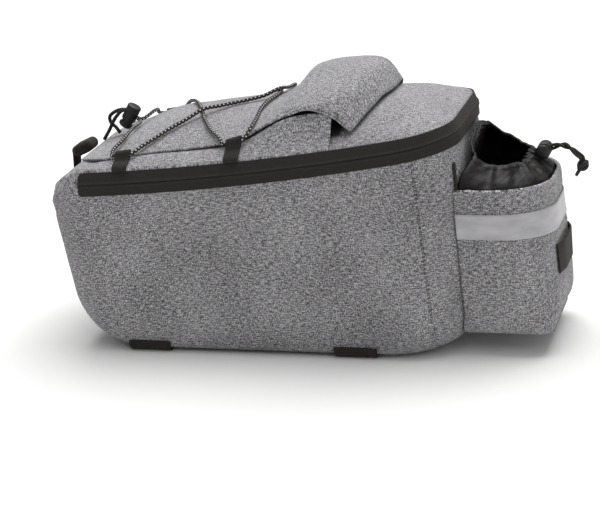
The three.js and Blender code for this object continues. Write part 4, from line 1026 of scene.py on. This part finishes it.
def makeCoil():
    line = evenCount(zipLine(0.0, 1.35), 1400)
    rows = [line + np.array([0, 0, up]) for up in (-0.9, 0.9)]
    coil = grown("zipCoil", stitchRow, rows, {
        "Pitch": zipSizes["ribMm"] * mm, "Length": 1.35 * mm, "Thickness": 1.25 * mm, "Jitter": 0.0,
        "Finish": coilBlack})
    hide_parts("zip_coil")


makeCoil()
grown("hookField", hookField, [hookFace.reshape(-1, 3) + (0, 0, 0.35)], {
    "Height": 0.9 * mm, "Thickness": 0.55 * mm, "Seed": 3, "Finish": hookCloth}, joined=False)


# A band of webbing along a path in plan or profile: grid of the path swept across its width
def bandPiece(name, path, across, thickness, material, facing, round=0.4):
    path = np.asarray(path, float)
    across = np.asarray(across, float)
    grid = np.array([[p + across * t for t in np.linspace(-0.5, 0.5, 9)] for p in path])
    return sheetPiece(name, grid, thickness, material, facing, round=round)


def joinPieces(name, pieces):
    made = bmesh.new()
    for piece in pieces:
        made.from_mesh(piece.data)
    mesh = pieces[0].data
    made.to_mesh(mesh)
    made.free()
    for piece in pieces[1:]:
        bpy.data.objects.remove(piece)
    pieces[0].name = name
    mesh.name = name
    smoothShaded(mesh)
    return pieces[0]


webbing = {"thickness": 1.6, "loopWidth": 12.0, "eyeRadius": 2.4, "eyeWall": 1.0, "frontX": -106.0,
           "rearX": -13.0}
eyeOuter = webbing["eyeRadius"] + webbing["eyeWall"]


def eyeCentre(x, side):
    y = cover["width"] / 2 + eyeOuter + 2 * gap
    slope = (gussetHeight(x, y - eyeOuter) - gussetHeight(x, y)) / eyeOuter
    clear = (eyeOuter + gap) * math.hypot(1, float(slope))
    return np.array([x, side * y, float(gussetHeight(x, y)) + cover["thickness"] + clear])


# Each loop is one strap: out of the seam, round the lace and back over itself
def makeLaceLoops():
    ply = webbing["eyeWall"]
    for place, middleX in (("front", webbing["frontX"]), ("rear", webbing["rearX"])):
        for side, name in ((-1, "near"), (1, "far")):
            rows = []
            for share in np.linspace(-0.5, 0.5, 9):
                x = middleX + webbing["loopWidth"] * share
                eye = eyeCentre(x, side)
                middle = abs(eye[1])
                slope = math.atan2(float(gussetHeight(x, middle + 3) - gussetHeight(x, middle)), 3)
                bed = lambda y, up: (y, float(gussetHeight(x, y)) + cover["thickness"] + gap + up)
                below = [bed(y, 0) for y in np.linspace(gussetOuterY + 0.2, middle + 2, 8)]
                turns = np.linspace(slope - math.pi / 2 - 0.15, slope - 1.85 * math.pi, 26)
                ring = [(middle + eyeOuter * math.cos(t), eye[2] + eyeOuter * math.sin(t)) for t in turns]
                above = [bed(y, 2.1 * ply)
                         for y in np.linspace(middle + eyeOuter + 1.6, gussetOuterY + 0.2, 6)]
                hem = float(zipHeight(x)) + bandHalf
                above += [(gussetOuterY + out, hem + up) for out, up in ((1.9, 4.1), (3.1, 2.4), (3.4, 0.3))]
                rows.append([(x, side * y, z) for y, z in below + ring + above])
            piece = sheetPiece(f"laceLoop{place.title()}{name.title()}", np.array(rows), ply, webbingCloth,
                               None)
            dress(piece, f"lace_loop_{place}_{name}")


makeLaceLoops()

frontTab = {"width": 16.0, "length": 19.0, "height": 9.5, "pitch": 25.0, "stem": 8.0, "seam": 3.0,
            "thickness": 1.6, "plies": 6.2}


def makeFrontTab():
    radius, reach = frontTab["height"] / 2, frontTab["length"] / 2 - frontTab["height"] / 2
    turnRear = np.linspace(-math.pi / 2, math.pi / 2, 16)
    turnFront = np.linspace(math.pi / 2, 1.5 * math.pi, 16)
    ring = np.vstack([
        np.column_stack([reach + radius * np.cos(turnRear), radius * np.sin(turnRear)]),
        np.column_stack([np.linspace(reach, -reach, 7)[1:-1], np.full(5, radius)]),
        np.column_stack([-reach + radius * np.cos(turnFront), radius * np.sin(turnFront)]),
        np.column_stack([np.linspace(-reach, reach, 7)[1:], np.full(6, -radius)])])
    pitch = math.radians(frontTab["pitch"])
    turned = np.column_stack([ring[:, 0] * math.cos(pitch) - ring[:, 1] * math.sin(pitch),
                              ring[:, 0] * math.sin(pitch) + ring[:, 1] * math.cos(pitch)])
    foot = frontTab["length"] / 2 - frontTab["thickness"]
    edge = float(zipHeight(frontX + zipSizes["lean"])) + bandHalf
    lean = zipSizes["lean"] * (1 - frontTab["seam"] / (edge - bag["hingeHeight"]))
    cx = frontX + lean - gap - frontTab["thickness"] / 2 + foot
    cz = edge + frontTab["stem"] + radius + foot * math.tan(pitch)
    path = np.column_stack([turned[:, 0] + cx, np.zeros(len(turned)), turned[:, 1] + cz])
    loop = bandPiece("frontTabLoop", path, (0, frontTab["width"], 0), frontTab["plies"], webbingCloth, None)
    top = cz - foot * math.tan(pitch)
    drop = frontTab["seam"] + frontTab["stem"] + radius
    stemX = cx - foot - frontTab["thickness"] / 2
    stem = np.column_stack([np.full(8, stemX), np.zeros(8), np.linspace(top, top - drop, 8)])
    foot = bandPiece("frontTabStem", stem, (0, frontTab["width"], 0), frontTab["thickness"], webbingCloth,
                     (-1, 0, 0))
    piece = joinPieces("frontTab", [loop, foot])
    dress(piece, "front_tab")


makeFrontTab()

baseStraps = {"width": 34.0, "thickness": 1.8, "turnUp": 7.0, "places": {"front": -91.0, "rear": 81.0}}


def makeBase():
    spread = (bag["rimWidth"] - bag["baseWidth"]) / 2 * (baseStraps["turnUp"] / float(zipHeight(0)))
    half = bag["baseWidth"] / 2 + spread + gap
    bend = bag["sideHeel"] + gap + baseStraps["thickness"]
    outer = half + baseStraps["thickness"]
    turn = np.linspace(math.pi, 1.5 * math.pi, 12)
    corner = np.column_stack([-outer + bend + bend * np.cos(turn), bend + bend * np.sin(turn)])
    top = bag["clearance"] + baseStraps["turnUp"]
    left = np.vstack([[(-outer, z) for z in np.linspace(top, bend, 3)[:-1]], corner])
    middle = np.column_stack([np.linspace(left[-1, 0], -left[-1, 0], 30)[1:-1], np.zeros(28)])
    profile = np.vstack([left, middle, left[::-1] * (-1, 1)])
    for place, x in baseStraps["places"].items():
        path = np.column_stack([np.full(len(profile), x), profile])
        piece = bandPiece(f"baseStrap{place.title()}", path, (baseStraps["width"], 0, 0),
                          baseStraps["thickness"],
                          webbingCloth, (0, 0, -1))
        dress(piece, f"base_strap_{place}")
    edge, _ = bodyOutline(0.0, 7.0)
    rings = [np.column_stack([edge * s, np.full(len(edge), z)]) for s, z in
             ((0.9, 2.12), (0.985, 2.12), (0.997, 2.4), (1.0, 3.1), (0.997, 3.8), (0.985, 4.08),
              (0.9, 4.08))]
    rings = np.array(rings)
    panel = skinPiece("basePanel", rings, threadUv(rings, closed=True), baseCloth)
    dress(panel, "base_panel")


makeBase()
print("stage: zip, webbing and base made")

# Bottle pocket: a stiff cloth tub, boxy at its floor and round at its rim
pocket = {
    "depth": 67.0, "width": 127.0, "wall": 3.0, "bottom": 18.0, "rim": 136.0, "corner": 50.0,
    "stripLow": 97.0, "stripHeight": 20.0, "loopLow": 62.0, "loopHeight": 23.0, "loopSpan": 68.0,
    "loopStand": 2.5,
}
pocketUps = [0, 0.03, 0.1, 0.3, 0.6, 1]
pocketDepths = [0.935, 0.965, 0.99, 0.995, 0.975, 0.915]
pocketWidths = [0.93, 0.97, 0.995, 1, 1, 1]
pocketCorners = [0.24, 0.26, 0.32, 0.62, 0.85, 1]


def wallFaceX(y, height):
    past = np.maximum(0, np.abs(y) - (bag["rimWidth"] / 2 - bag["rearCorner"]))
    return rearWallX(height) - bag["rearCorner"] + np.sqrt(np.maximum(bag["rearCorner"] ** 2 - past**2, 0))


def pocketLine(height, growth=0.0, count=150):
    up = (height - pocket["bottom"]) / (pocket["rim"] - pocket["bottom"])
    depth, width, corner = (float(np.interp(up, pocketUps, values))
                            for values in (pocketDepths, pocketWidths, pocketCorners))
    places, _ = outline(rearWallX(pocket["rim"]) - 20, rearX + pocket["depth"] * depth + growth,
                        pocket["width"] / 2 * width + growth, 1, pocket["corner"] * corner + growth,
                        corner=20, side=40, end=12)
    keep = places[(places[:, 0] > wallFaceX(places[:, 1], height) + gap)]
    for end in (0, -1):  # meet the wall exactly
        keep[end, 0] = wallFaceX(keep[end, 1], height) + gap
    line = np.column_stack([keep, np.full(len(keep), height)])
    return evenCount(line, count)


def pocketPuff(grid, depth):
    x, y, z = grid[..., 0], grid[..., 1], grid[..., 2]
    out = depth * ripple(y + 0.4 * x, z, 30, 3.1) * smooth((x - rearX - 4) / 12)
    away = unitRows(np.stack([x - rearX, y], axis=-1))
    moved = grid.copy()
    moved[..., :2] += away * out[..., None]
    return moved


def makePocket():
    heights = np.concatenate([pocket["bottom"] + np.array([0, 0.6, 1.6, 3, 5, 8]),
                              np.linspace(29, pocket["rim"], 46)])
    wall = np.array([pocketLine(h) for h in heights])
    wall = pocketPuff(wall, 0.5)
    foot = wall[0]
    mirror = foot[::-1]
    floorRows = []
    for t in np.linspace(0.5, 0, 12)[:-1]:
        row = foot * (1 - t) + mirror * t
        row[:, 0] = np.maximum(row[:, 0], wallFaceX(row[:, 1], pocket["bottom"]) + gap)
        row[:, 2] = pocket["bottom"]
        floorRows.append(row)
    x, y, z = wall[..., 0], wall[..., 1], wall[..., 2]
    pins = np.zeros(x.shape)
    pins[:, :2] = pins[:, -2:] = 1
    pins[0] = pins[-1] = 1
    strip = (z > pocket["stripLow"] - 3) & (z < pocket["stripLow"] + pocket["stripHeight"] + 3)
    loop = ((z > pocket["loopLow"] - 3) & (z < pocket["loopLow"] + pocket["loopHeight"] + 3)
            & (np.abs(y) < 38) & (x > rearX + 30))
    pins[strip | loop] = 1
    wall = relaxed(wall, pins, 1.6, None, pressure=1.2, slack=0.012)
    grid = np.array([*floorRows, *wall])
    piece = sheetPiece("pocketWall", grid, pocket["wall"], greyCloth, None, lining=nylonCloth)
    outwards(piece, 0.02)
    dress(piece, "bottle_pocket")


makePocket()


def makeStrip():
    low, high = pocket["stripLow"], pocket["stripLow"] + pocket["stripHeight"]
    grid = np.array([pocketLine(h, gap + 0.6) for h in np.linspace(low, high, 14)])
    grid = pocketPuff(grid, 0.5)
    piece = sheetPiece("reflectiveStrip", grid, 0.6, tapeCloth, None)
    dress(piece, "reflective_strip")


makeStrip()


def makeLightLoop():
    rows = []
    for height in np.linspace(pocket["loopLow"], pocket["loopLow"] + pocket["loopHeight"], 9):
        line = pocketLine(height, gap, 400)
        line = line[line[:, 0] > rearX + 20]
        y = np.linspace(-0.5, 0.5, 60) * pocket["loopSpan"]
        x = np.interp(y, line[:, 1], line[:, 0])
        share = np.linspace(0, 1, 60)
        bulge = smooth(4 * np.minimum(share, 1 - share)) * pocket["loopStand"]
        rows.append(np.column_stack([x + bulge + webbing["thickness"], y, np.full(60, height)]))
    piece = sheetPiece("lightLoop", np.array(rows), webbing["thickness"], webbingCloth, (1, 0, 0))
    dress(piece, "light_loop")


makeLightLoop()

# Collar: thin nylon sewn inside the rim and gathered to the pocket's mouth
collar = {
    "thickness": 1.3, "tuck": 6.0, "mouthLength": 49.0, "mouthWidth": 84.0, "heightFront": 175.0,
    "nearDrop": 9.0,
    "heightRear": 150.0, "gathers": 13, "gatherDepth": 2.7, "hem": 1.8,
}
collarUps = [0, 0.3, 0.52, 0.74, 0.92, 1]
collarDraws = [0, 0.04, 0.2, 0.52, 0.84, 1]
collarGathers = [0, 0.15, 0.6, 1, 1, 0.9]
collarHems = [0, 0, 0, 0, 0.6, 1]
collarFrontX = rearWallX(pocket["rim"] - collar["tuck"]) + gap
mouthMiddleX = collarFrontX + collar["mouthLength"] / 2


def mouthHeight(x):
    back = np.clip((x - collarFrontX) / collar["mouthLength"], 0, 1)
    return collar["heightFront"] + (collar["heightRear"] - collar["heightFront"]) * (1 - (1 - back) ** 2)


def collarFoot(angles):
    line = pocketLine(pocket["rim"] - 0.01, -pocket["wall"] - gap, 300)[:, :2]
    line[:, 0] = np.maximum(line[:, 0], wallFaceX(line[:, 1], pocket["rim"] - collar["tuck"]) + gap)
    ys = np.linspace(line[-1, 1], line[0, 1], 60)[1:-1]
    wall = np.column_stack([wallFaceX(ys, pocket["rim"] - collar["tuck"]) + gap, ys])
    ring = np.vstack([line, wall])
    turn = np.arctan2(ring[:, 1], ring[:, 0] - mouthMiddleX)
    order = np.argsort(turn)
    reach = np.hypot(ring[:, 0] - mouthMiddleX, ring[:, 1])[order]
    return np.interp(angles, turn[order], reach, period=2 * math.pi)


def makeCollar():
    count = 280
    angle = 2 * np.pi * np.arange(count) / count
    base = collarFoot(angle)
    flat = np.where(np.cos(angle) < 0, 3.5, 2.4)
    a, b = collar["mouthLength"] / 2, collar["mouthWidth"] / 2
    oval = (np.abs(np.cos(angle) / a) ** flat + np.abs(np.sin(angle) / b) ** flat) ** (-1 / flat)
    mouth = np.minimum(oval, base)
    held = np.where(np.cos(angle) < -0.5, 0.2, 1.0)
    phase = collar["gathers"] * angle
    rings = []

    def ring(up, inward):
        draw, gather, hem = (float(between(collarUps, values, up))
                             for values in (collarDraws, collarGathers, collarHems))
        warp = 0.9 * np.sin(2 * angle + 1.1) + 0.5 * np.sin(5 * angle + 4 * up)
        fold = gather * held * collar["gatherDepth"] * (
            0.75 * np.cos(phase + warp) + 0.25 * np.cos(2.3 * phase - warp + 2))
        fold = fold + 1.3 * held * np.sin(math.pi * up) ** 2 * np.sin(9 * angle + 2.6 * up + 0.8)
        bead = 0.5 * math.sin(math.pi * max(0.0, (up - 0.88) / 0.12)) if up > 0.88 else 0.0
        radius = base + (mouth - base) * draw - collar["gatherDepth"] * gather + fold + bead
        radius = radius - inward * (collar["thickness"] + collar["hem"] * hem)
        x = mouthMiddleX + radius * np.cos(angle)
        bottom = pocket["rim"] - collar["tuck"]
        sagging = -1.2 * math.sin(math.pi * up) * (0.5 + 0.5 * np.sin(3 * angle + 0.6)) * held
        low = collar["nearDrop"] * smooth(-radius * np.sin(angle) / 30) * smooth((mouthMiddleX + 14 - x) / 24)
        z = bottom + up * (mouthHeight(x) - low - bottom) - inward * collar["thickness"] * draw + sagging
        return np.column_stack([x, radius * np.sin(angle), z])

    ups = np.concatenate([np.linspace(0, 0.85, 30), np.linspace(0.87, 1, 12)])
    for up in ups:
        rings.append(ring(up, 0))
    lip = (rings[-1] + ring(1, 1)) / 2 + np.array([0, 0, 0.8])
    rings.append(lip)
    for up in ups[::-1]:
        rings.append(ring(up, 1))
    rings = np.array(rings)
    rows, columns = rings.shape[:2]
    uv = threadUv(rings, closed=True)
    faces = [tuple(f) for f in quads(rows, columns, closed=True)]
    uvs = [quadUvs(uv, rows - 1, columns).reshape(-1)]
    last = (rows - 1) * columns
    for j in range(columns):
        k = (j + 1) % columns
        faces.append((last + j, last + k, k, j))
        uvs.append(np.array([uv[-1, j], uv[-1, j + 1], uv[0, j + 1], uv[0, j]]).reshape(-1))
    piece = outwards(newObject("pocketCollar", rings.reshape(-1, 3), faces, uvs, [nylonCloth]))
    dress(piece, "pocket_collar")


makeCollar()


def makeBindings():
    for side, name in ((-1, "near"), (1, "far")):
        y = side * (pocket["width"] / 2 - pocket["wall"])
        rows = []
        for height in np.linspace(pocket["rim"] + gap, pocket["rim"] + 22, 16):
            past = abs(y) - (bag["rimWidth"] / 2 - bag["rearCorner"])
            wall = (rearWallX(height) - bag["rearCorner"]
                    + math.sqrt((bag["rearCorner"] + gap + 0.2) ** 2 - past**2))
            rows.append([(wall + webbing["thickness"], y + share * 5.0,
                          height) for share in np.linspace(-0.5, 0.5, 8)])
        piece = sheetPiece(f"collarBinding{name.title()}", np.array(rows), webbing["thickness"],
                           webbingCloth, (1, 0, 0))
        dress(piece, f"pocket_binding_{name}")


makeBindings()
print("stage: pocket and collar made")

# Cord locks: a barrel and a spring button, with a slot through both for the two strands
lock = {"diameter": 12.0, "barrel": 13.5, "floor": 1.5, "wall": 1.0, "bridge": 1.5, "running": 0.25,
        "head": 4.0, "travel": 3.0}
lockCordHeight = lock["floor"] + lock["travel"] + gap + lock["bridge"] + gap + 1.5
laceDiameter, drawstringDiameter = 3.0, 2.6
lidLock = {"cord": np.array([-125, 12, 176.5]), "axis": np.array([-0.5, 0, -0.866]),
           "along": np.array([-0.866, 0, 0.5])}
pocketLock = {"cord": np.array([rearX + 50.3, 8, 152.6]), "axis": np.array([0, -1.0, 0]),
              "along": np.array([0.95, 0, 0.3])}


def unit(v):
    return np.asarray(v, float) / np.linalg.norm(v)


def lockMatrix(place):
    z = unit(place["axis"])
    y = unit(np.cross(z, unit(place["along"])))
    x = np.cross(y, z)
    origin = place["cord"] - z * lockCordHeight
    return np.column_stack([x, y, z]), origin


def turnedPiece(name, profile, place, slotSize, material):
    sides = 40
    profile = np.asarray(profile, float)
    turn = 2 * np.pi * np.arange(sides) / sides
    rings = np.array([np.column_stack([r * np.cos(turn), r * np.sin(turn), np.full(sides, z)]) for r,
                      z in profile])
    faces = [tuple(f) for f in quads(len(profile), sides, closed=True)]
    faces += [tuple(range(sides)), tuple((len(profile) - 1) * sides + k for k in range(sides))]
    points = rings.reshape(-1, 3)
    turnTo, origin = lockMatrix(place)
    body = outwards(newObject(name, points @ turnTo.T + origin, faces, None, [material]))
    wide, low, high = slotSize
    box = np.array([[sx * 12, sy * wide / 2, z] for sx in (-1, 1) for sy in (-1, 1) for z in (low, high)])
    boxFaces = [(0, 1, 3, 2), (4, 6, 7, 5), (0, 4, 5, 1), (2, 3, 7, 6), (0, 2, 6, 4), (1, 5, 7, 3)]
    cutter = outwards(newObject(name + "Slot", box @ turnTo.T + origin, boxFaces))
    cut = body.modifiers.new("slot", "BOOLEAN")
    cut.object, cut.operation, cut.solver = cutter, "DIFFERENCE", "EXACT"
    mesh = baked(body)
    body.modifiers.clear()
    body.data = mesh
    bpy.data.objects.remove(cutter)
    smoothShaded(mesh, False)
    edges = body.modifiers.new("edge", "BEVEL")
    edges.width, edges.segments = 0.25 * mm, 2
    edges.limit_method, edges.angle_limit = "ANGLE", math.radians(40)
    mesh = baked(body)
    body.modifiers.clear()
    body.data = mesh
    mesh.name = name
    smoothShaded(mesh)
    mesh.set_sharp_from_angle(angle=math.radians(35))
    return body


def makeLocks():
    radius = lock["diameter"] / 2
    bore = radius - lock["wall"]
    stem = bore - lock["running"]
    top = lock["barrel"] + lock["travel"] + gap
    low = lock["floor"] + lock["travel"] + gap
    for name, place, diameter, body in (("lidLock", lidLock, laceDiameter, "lid"),
                                        ("pocketLock", pocketLock, drawstringDiameter, "pocket")):
        wide = 2 * diameter + 3 * gap
        half = diameter / 2 + gap
        barrel = turnedPiece(name + "Barrel", [
            (0.01, 0), (radius - 1, 0), (radius - 0.3, 0.3), (radius, 1), (radius, 3.2),
            (radius - 0.35, 3.5),
            (radius - 0.35, 4.1), (radius, 4.4), (radius, lock["barrel"] - 1.2),
            (radius - 0.1, lock["barrel"]),
            (bore, lock["barrel"]), (bore, lock["floor"]), (0.01, lock["floor"])],
            place, (wide, lockCordHeight - half, lockCordHeight + half), mouldedBlack)
        button = turnedPiece(name + "Button", [
            (0.01, low), (stem, low), (stem, top), (radius - 0.4, top), (radius, top + 0.4),
            (radius, top + 2.0),
            (0.8 * radius, top + 3.3), (0.4 * radius, top + 3.9), (0.01, top + 4.0)],
            place, (wide, lockCordHeight - half, lockCordHeight + half + lock["travel"]), mouldedBlack)
        dress(barrel, f"{body}_lock_barrel")
        dress(button, f"{body}_lock_button", f"{body}_button")


makeLocks()


# Cords, along routes through given points
def lockPoint(place, diameter, strand, out):
    beside = unit(np.cross(unit(place["axis"]), unit(place["along"]))) * (diameter + gap) / 2
    return place["cord"] + beside * strand + unit(place["along"]) * out


def lacePoint(x, y, lift=0.0):
    top = float(coverHeight(x, y)) + cover["thickness"]
    if abs(y) < cover["width"] / 2 and coverFrontX + 2 < x < 40:
        top = max(top, coverTop(x, y))
    return np.array([x, y, top + laceDiameter / 2 + gap + lift])


def eyeRoute(middleX, side, fromRear):
    ends = [eyeCentre(middleX + share * webbing["loopWidth"], side) for share in (-0.7, 0, 0.7)]
    return ends[::-1] if fromRear else ends


def cordPiece(name, points, diameter, material, node, step=0.9):
    line = routeThrough(points, step)
    piece = tubePiece(name, line, diameter, material, sides=14)
    dress(piece, node)
    return piece


# The elastic's way between the loops: places in plan, and how far it is lifted off the cover
laceLegs = {
    "lockToFarFront": [(-110, 30, 3.5), (-113, 50, 3.2), (-117, 66, 2.2)],
    "farFrontToNearRear": [
        (-94, 66, 2.2), (-87, 52, 1.8), (-78, 33, 0.8), (-66, 9, 0.4), (-55, -16, 0.4), (-46, -38, 0.6),
        (-36, -56, 0.8), (-27, -67, 1.6)],
    "nearRearToFarRear": [
        (0, -67, 1.6), (1, -54, 0.8), (1, -38, 0.6), (3, -22, 0.6), (7, -6, 0.6), (6, 14, 0.6),
        (-4, 40, 0.8),
        (-24, 66, 1.6)],
    "farRearToNearFront": [
        (1, 66, 1.8), (8, 52, 0.7), (11, 34, 0.4), (11, 16, 1.2), (7, 1, 3.9), (-4, -8, 1.6),
        (-16, -11, 0.6),
        (-28, -15, 0.6), (-38, -21, 1.6), (-49.5, -28.5, 3.7), (-61, -38, 1.6), (-74, -49, 0.8),
        (-84, -58, 0.8), (-93, -67, 1.6)],
    "nearFrontToLock": [(-117, -65, 2), (-114, -50, 2), (-113, -24, 3)],
}


def makeCords():
    at = lambda strand, out: lockPoint(lidLock, laceDiameter, strand, out)
    over = lambda leg: [lacePoint(*place) for place in laceLegs[leg]]
    front, rear = webbing["frontX"], webbing["rearX"]
    lacing = [
        at(1, -gap / 2), at(1, -9), *over("lockToFarFront"), *eyeRoute(front, 1, False),
        *over("farFrontToNearRear"), *eyeRoute(rear, -1, False), *over("nearRearToFarRear"),
        *eyeRoute(rear, 1, False), *over("farRearToNearFront"), *eyeRoute(front, -1, True),
        *over("nearFrontToLock"), at(-1, -9), at(-1, -gap / 2)]
    cordPiece("lacing", lacing, laceDiameter, laceCord, "lacing_cord")
    tails = {
        "laceTailFar": (1, [(-140, 15, 177.5), (-145, 15.5, 173), (-144, 15, 168), (-140, 14.5, 164.5)],
                        (-136, 14), "lace_tail_far"),
        "laceTailNear": (-1, [(-137, 10, 175), (-141, 9.5, 169), (-143.5, 9.5, 164)], (-149, 9),
                         "lace_tail_near"),
    }
    for name, (strand, points, rest, node) in tails.items():
        cordPiece(name, [at(strand, gap / 2), at(strand, 7), *points, lacePoint(*rest)], laceDiameter,
                  blackCord, node)
    knot = np.array([rearX + 82, 0, 142.0])
    middle = routeThrough([lockPoint(pocketLock, drawstringDiameter, 0, out) for out in (-7.9, 0, 7)]
                          + [(rearX + 64, 6, 157), (rearX + 71, 3.5, 155.5), (rearX + 78, 1, 150.5),
                             knot + (-0.8, 0, 6.2), knot + (-0.2, 0, 2.4)], 0.8)
    tangent = unitRows(np.gradient(middle, axis=0))
    beside = unitRows(np.cross(tangent, (0, -1, 0)))
    past = np.arange(len(middle)) * 0.8 - 14.5
    twist = 2 * math.pi * 0.9 * smooth(past / 24)[:, None]  # they turn about each other behind the lock
    beside = beside * np.cos(twist) + np.cross(tangent, beside) * np.sin(twist)
    spread = (drawstringDiameter + gap * (1 - smooth(past / 4))[:, None]) / 2
    for name, strand, node in (("drawstringNear", -1, "drawstring_near"),
                               ("drawstringFar", 1, "drawstring_far")):
        cordPiece(name, evenSteps(middle + beside * strand * spread, 2.0), drawstringDiameter,
                  blackCord, node, 0.6)
    ties = []
    for k, (tilt, roll) in enumerate(((0.0, 0.0), (1.25, 0.5), (2.2, -0.6))):
        t = np.linspace(0, 2 * np.pi, 40)
        ring = np.column_stack([3.1 * np.cos(t), 2.6 * np.sin(t), 2.6 * np.sin(t + tilt)])
        c, s = math.cos(roll), math.sin(roll)
        ring = ring @ np.array([[c, -s, 0], [s, c, 0], [0, 0, 1]])
        ties.append(tubePiece(f"knotTurn{k}", ring + knot, 3.6, blackCord, 10))
    for k, side in enumerate((-1, 1)):
        start = knot + (0, side * 2.5, 0)
        line = np.linspace(0, 1, 12)[:, None] * unit((-0.55, 0.1 * side, -0.83)) * 9.5 + start
        ties.append(tubePiece(f"knotTail{k}", line, drawstringDiameter, blackCord, 10))
    piece = joinPieces("drawstringKnot", ties)
    dress(piece, "drawstring_knot")


makeCords()
print("stage: locks and cords made")


stitches = {
    "dark": {"Pitch": 3.4 * mm, "Length": 2.5 * mm, "Thickness": 0.6 * mm, "Jitter": 0.15, "Seed": 7,
             "Finish": darkThread},
    "light": {"Pitch": 3.2 * mm, "Length": 2.4 * mm, "Thickness": 0.36 * mm, "Jitter": 0.15, "Seed": 11,
              "Finish": greyThread},
}


def makeStitches():
    seamDark, seamLight = [], []
    for side in (-1, 1):
        zs = np.linspace(4, 165.5, 90)
        seamDark.append(np.array([wallPoint(float(seamX(z)), z, side, 0.25) for z in zs]))
        seamDark.append(np.array([wallPoint(float(seamX(z)) + 1.2, z, side, 0.3) for z in zs]))
    for height in (pocket["stripLow"] + 1.2, pocket["stripLow"] + pocket["stripHeight"] - 1.2):
        line = pocketPuff(pocketLine(height, gap + 0.75)[None], 0.5)[0]
        seamLight.append(line)
    rim = pocketPuff(pocketLine(pocket["rim"] - 1.6, 0.12)[None], 0.5)[0]
    seamLight.append(rim)
    for column in (2, -3):
        seamDark.append(coverSurface[88:-2, column] + (0, 0, 0.05))
    grown("darkStitches", stitchRow, seamDark, stitches["dark"])
    grown("lightStitches", stitchRow, seamLight, stitches["light"])


makeStitches()


def finishSlider():
    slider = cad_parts["zip_slider"]
    slider.data.materials.clear()
    slider.data.materials.append(paintedSteel)


finishSlider()
print("stage: stitches made")

# Camera, at the photograph's angle
view = {"azimuth": 14.4, "elevation": 17.1, "distance": 2.0, "roll": -2.75, "lens": 144.0,
        "target": (-0.01925, -0.00219, 0.0526)}


def makeCamera():
    a, e, r = (math.radians(view[k]) for k in ("azimuth", "elevation", "roll"))
    back = Vector((math.sin(a) * math.cos(e), -math.cos(a) * math.cos(e), math.sin(e)))
    right = Vector((math.cos(a), math.sin(a), 0))
    up = Vector((-math.sin(a) * math.sin(e), math.cos(a) * math.sin(e), math.cos(e)))
    axes = (right * math.cos(r) + up * math.sin(r), up * math.cos(r) - right * math.sin(r), back)
    camera = linked("camera", bpy.data.cameras.new("camera"))
    camera.data.lens = view["lens"]
    camera.data.sensor_width = 36.0
    camera.data.clip_start, camera.data.clip_end = 0.05, 60.0
    turn = Matrix(axes).transposed().to_4x4()
    camera.matrix_world = Matrix.Translation(Vector(view["target"]) + back * view["distance"]) @ turn
    bpy.context.scene.camera = camera


makeCamera()

# Floor, and soft studio light
studio = {
    "floor": "#f8f8f7", "world": 0.30,
    "lights": [  # power in watts, size and place in metres
        ("keyLight", 3.2, 1.6, (-0.2, -1.4, 1.9)), ("fillLight", 6.4, 1.8, (1.8, -1.5, 0.9)),
        ("topLight", 75.0, 2.4, (0.0, 0.75, 2.3))],
}


def makeStudio():
    half = 6.0
    mesh = bpy.data.meshes.new("floor")
    mesh.from_pydata([(-half, -half, 0), (half, -half, 0), (half, half, 0), (-half, half, 0)], [],
                     [(0, 1, 2, 3)])
    floor = linked("floor", mesh)
    material, tree, shader = newMaterial("paleFloor", 0.9)
    shader.inputs["Base Color"].default_value = toLinear(studio["floor"])
    mesh.materials.append(material)
    world = bpy.data.worlds.new("studio")
    world.use_nodes = True
    world.node_tree.nodes["Background"].inputs[0].default_value = (1.0, 1.0, 1.0, 1.0)
    world.node_tree.nodes["Background"].inputs[1].default_value = studio["world"]
    bpy.context.scene.world = world
    for name, power, size, place in studio["lights"]:
        light = bpy.data.lights.new(name, "AREA")
        light.energy, light.size = power, size
        lamp = linked(name, light)
        lamp.location = place
        lamp.rotation_mode = "QUATERNION"
        lamp.rotation_quaternion = (Vector((0, 0, 0.1)) - Vector(place)).to_track_quat("-Z", "Y")
    bpy.context.scene.view_settings.view_transform = "Standard"


makeStudio()
print("stage: studio made")
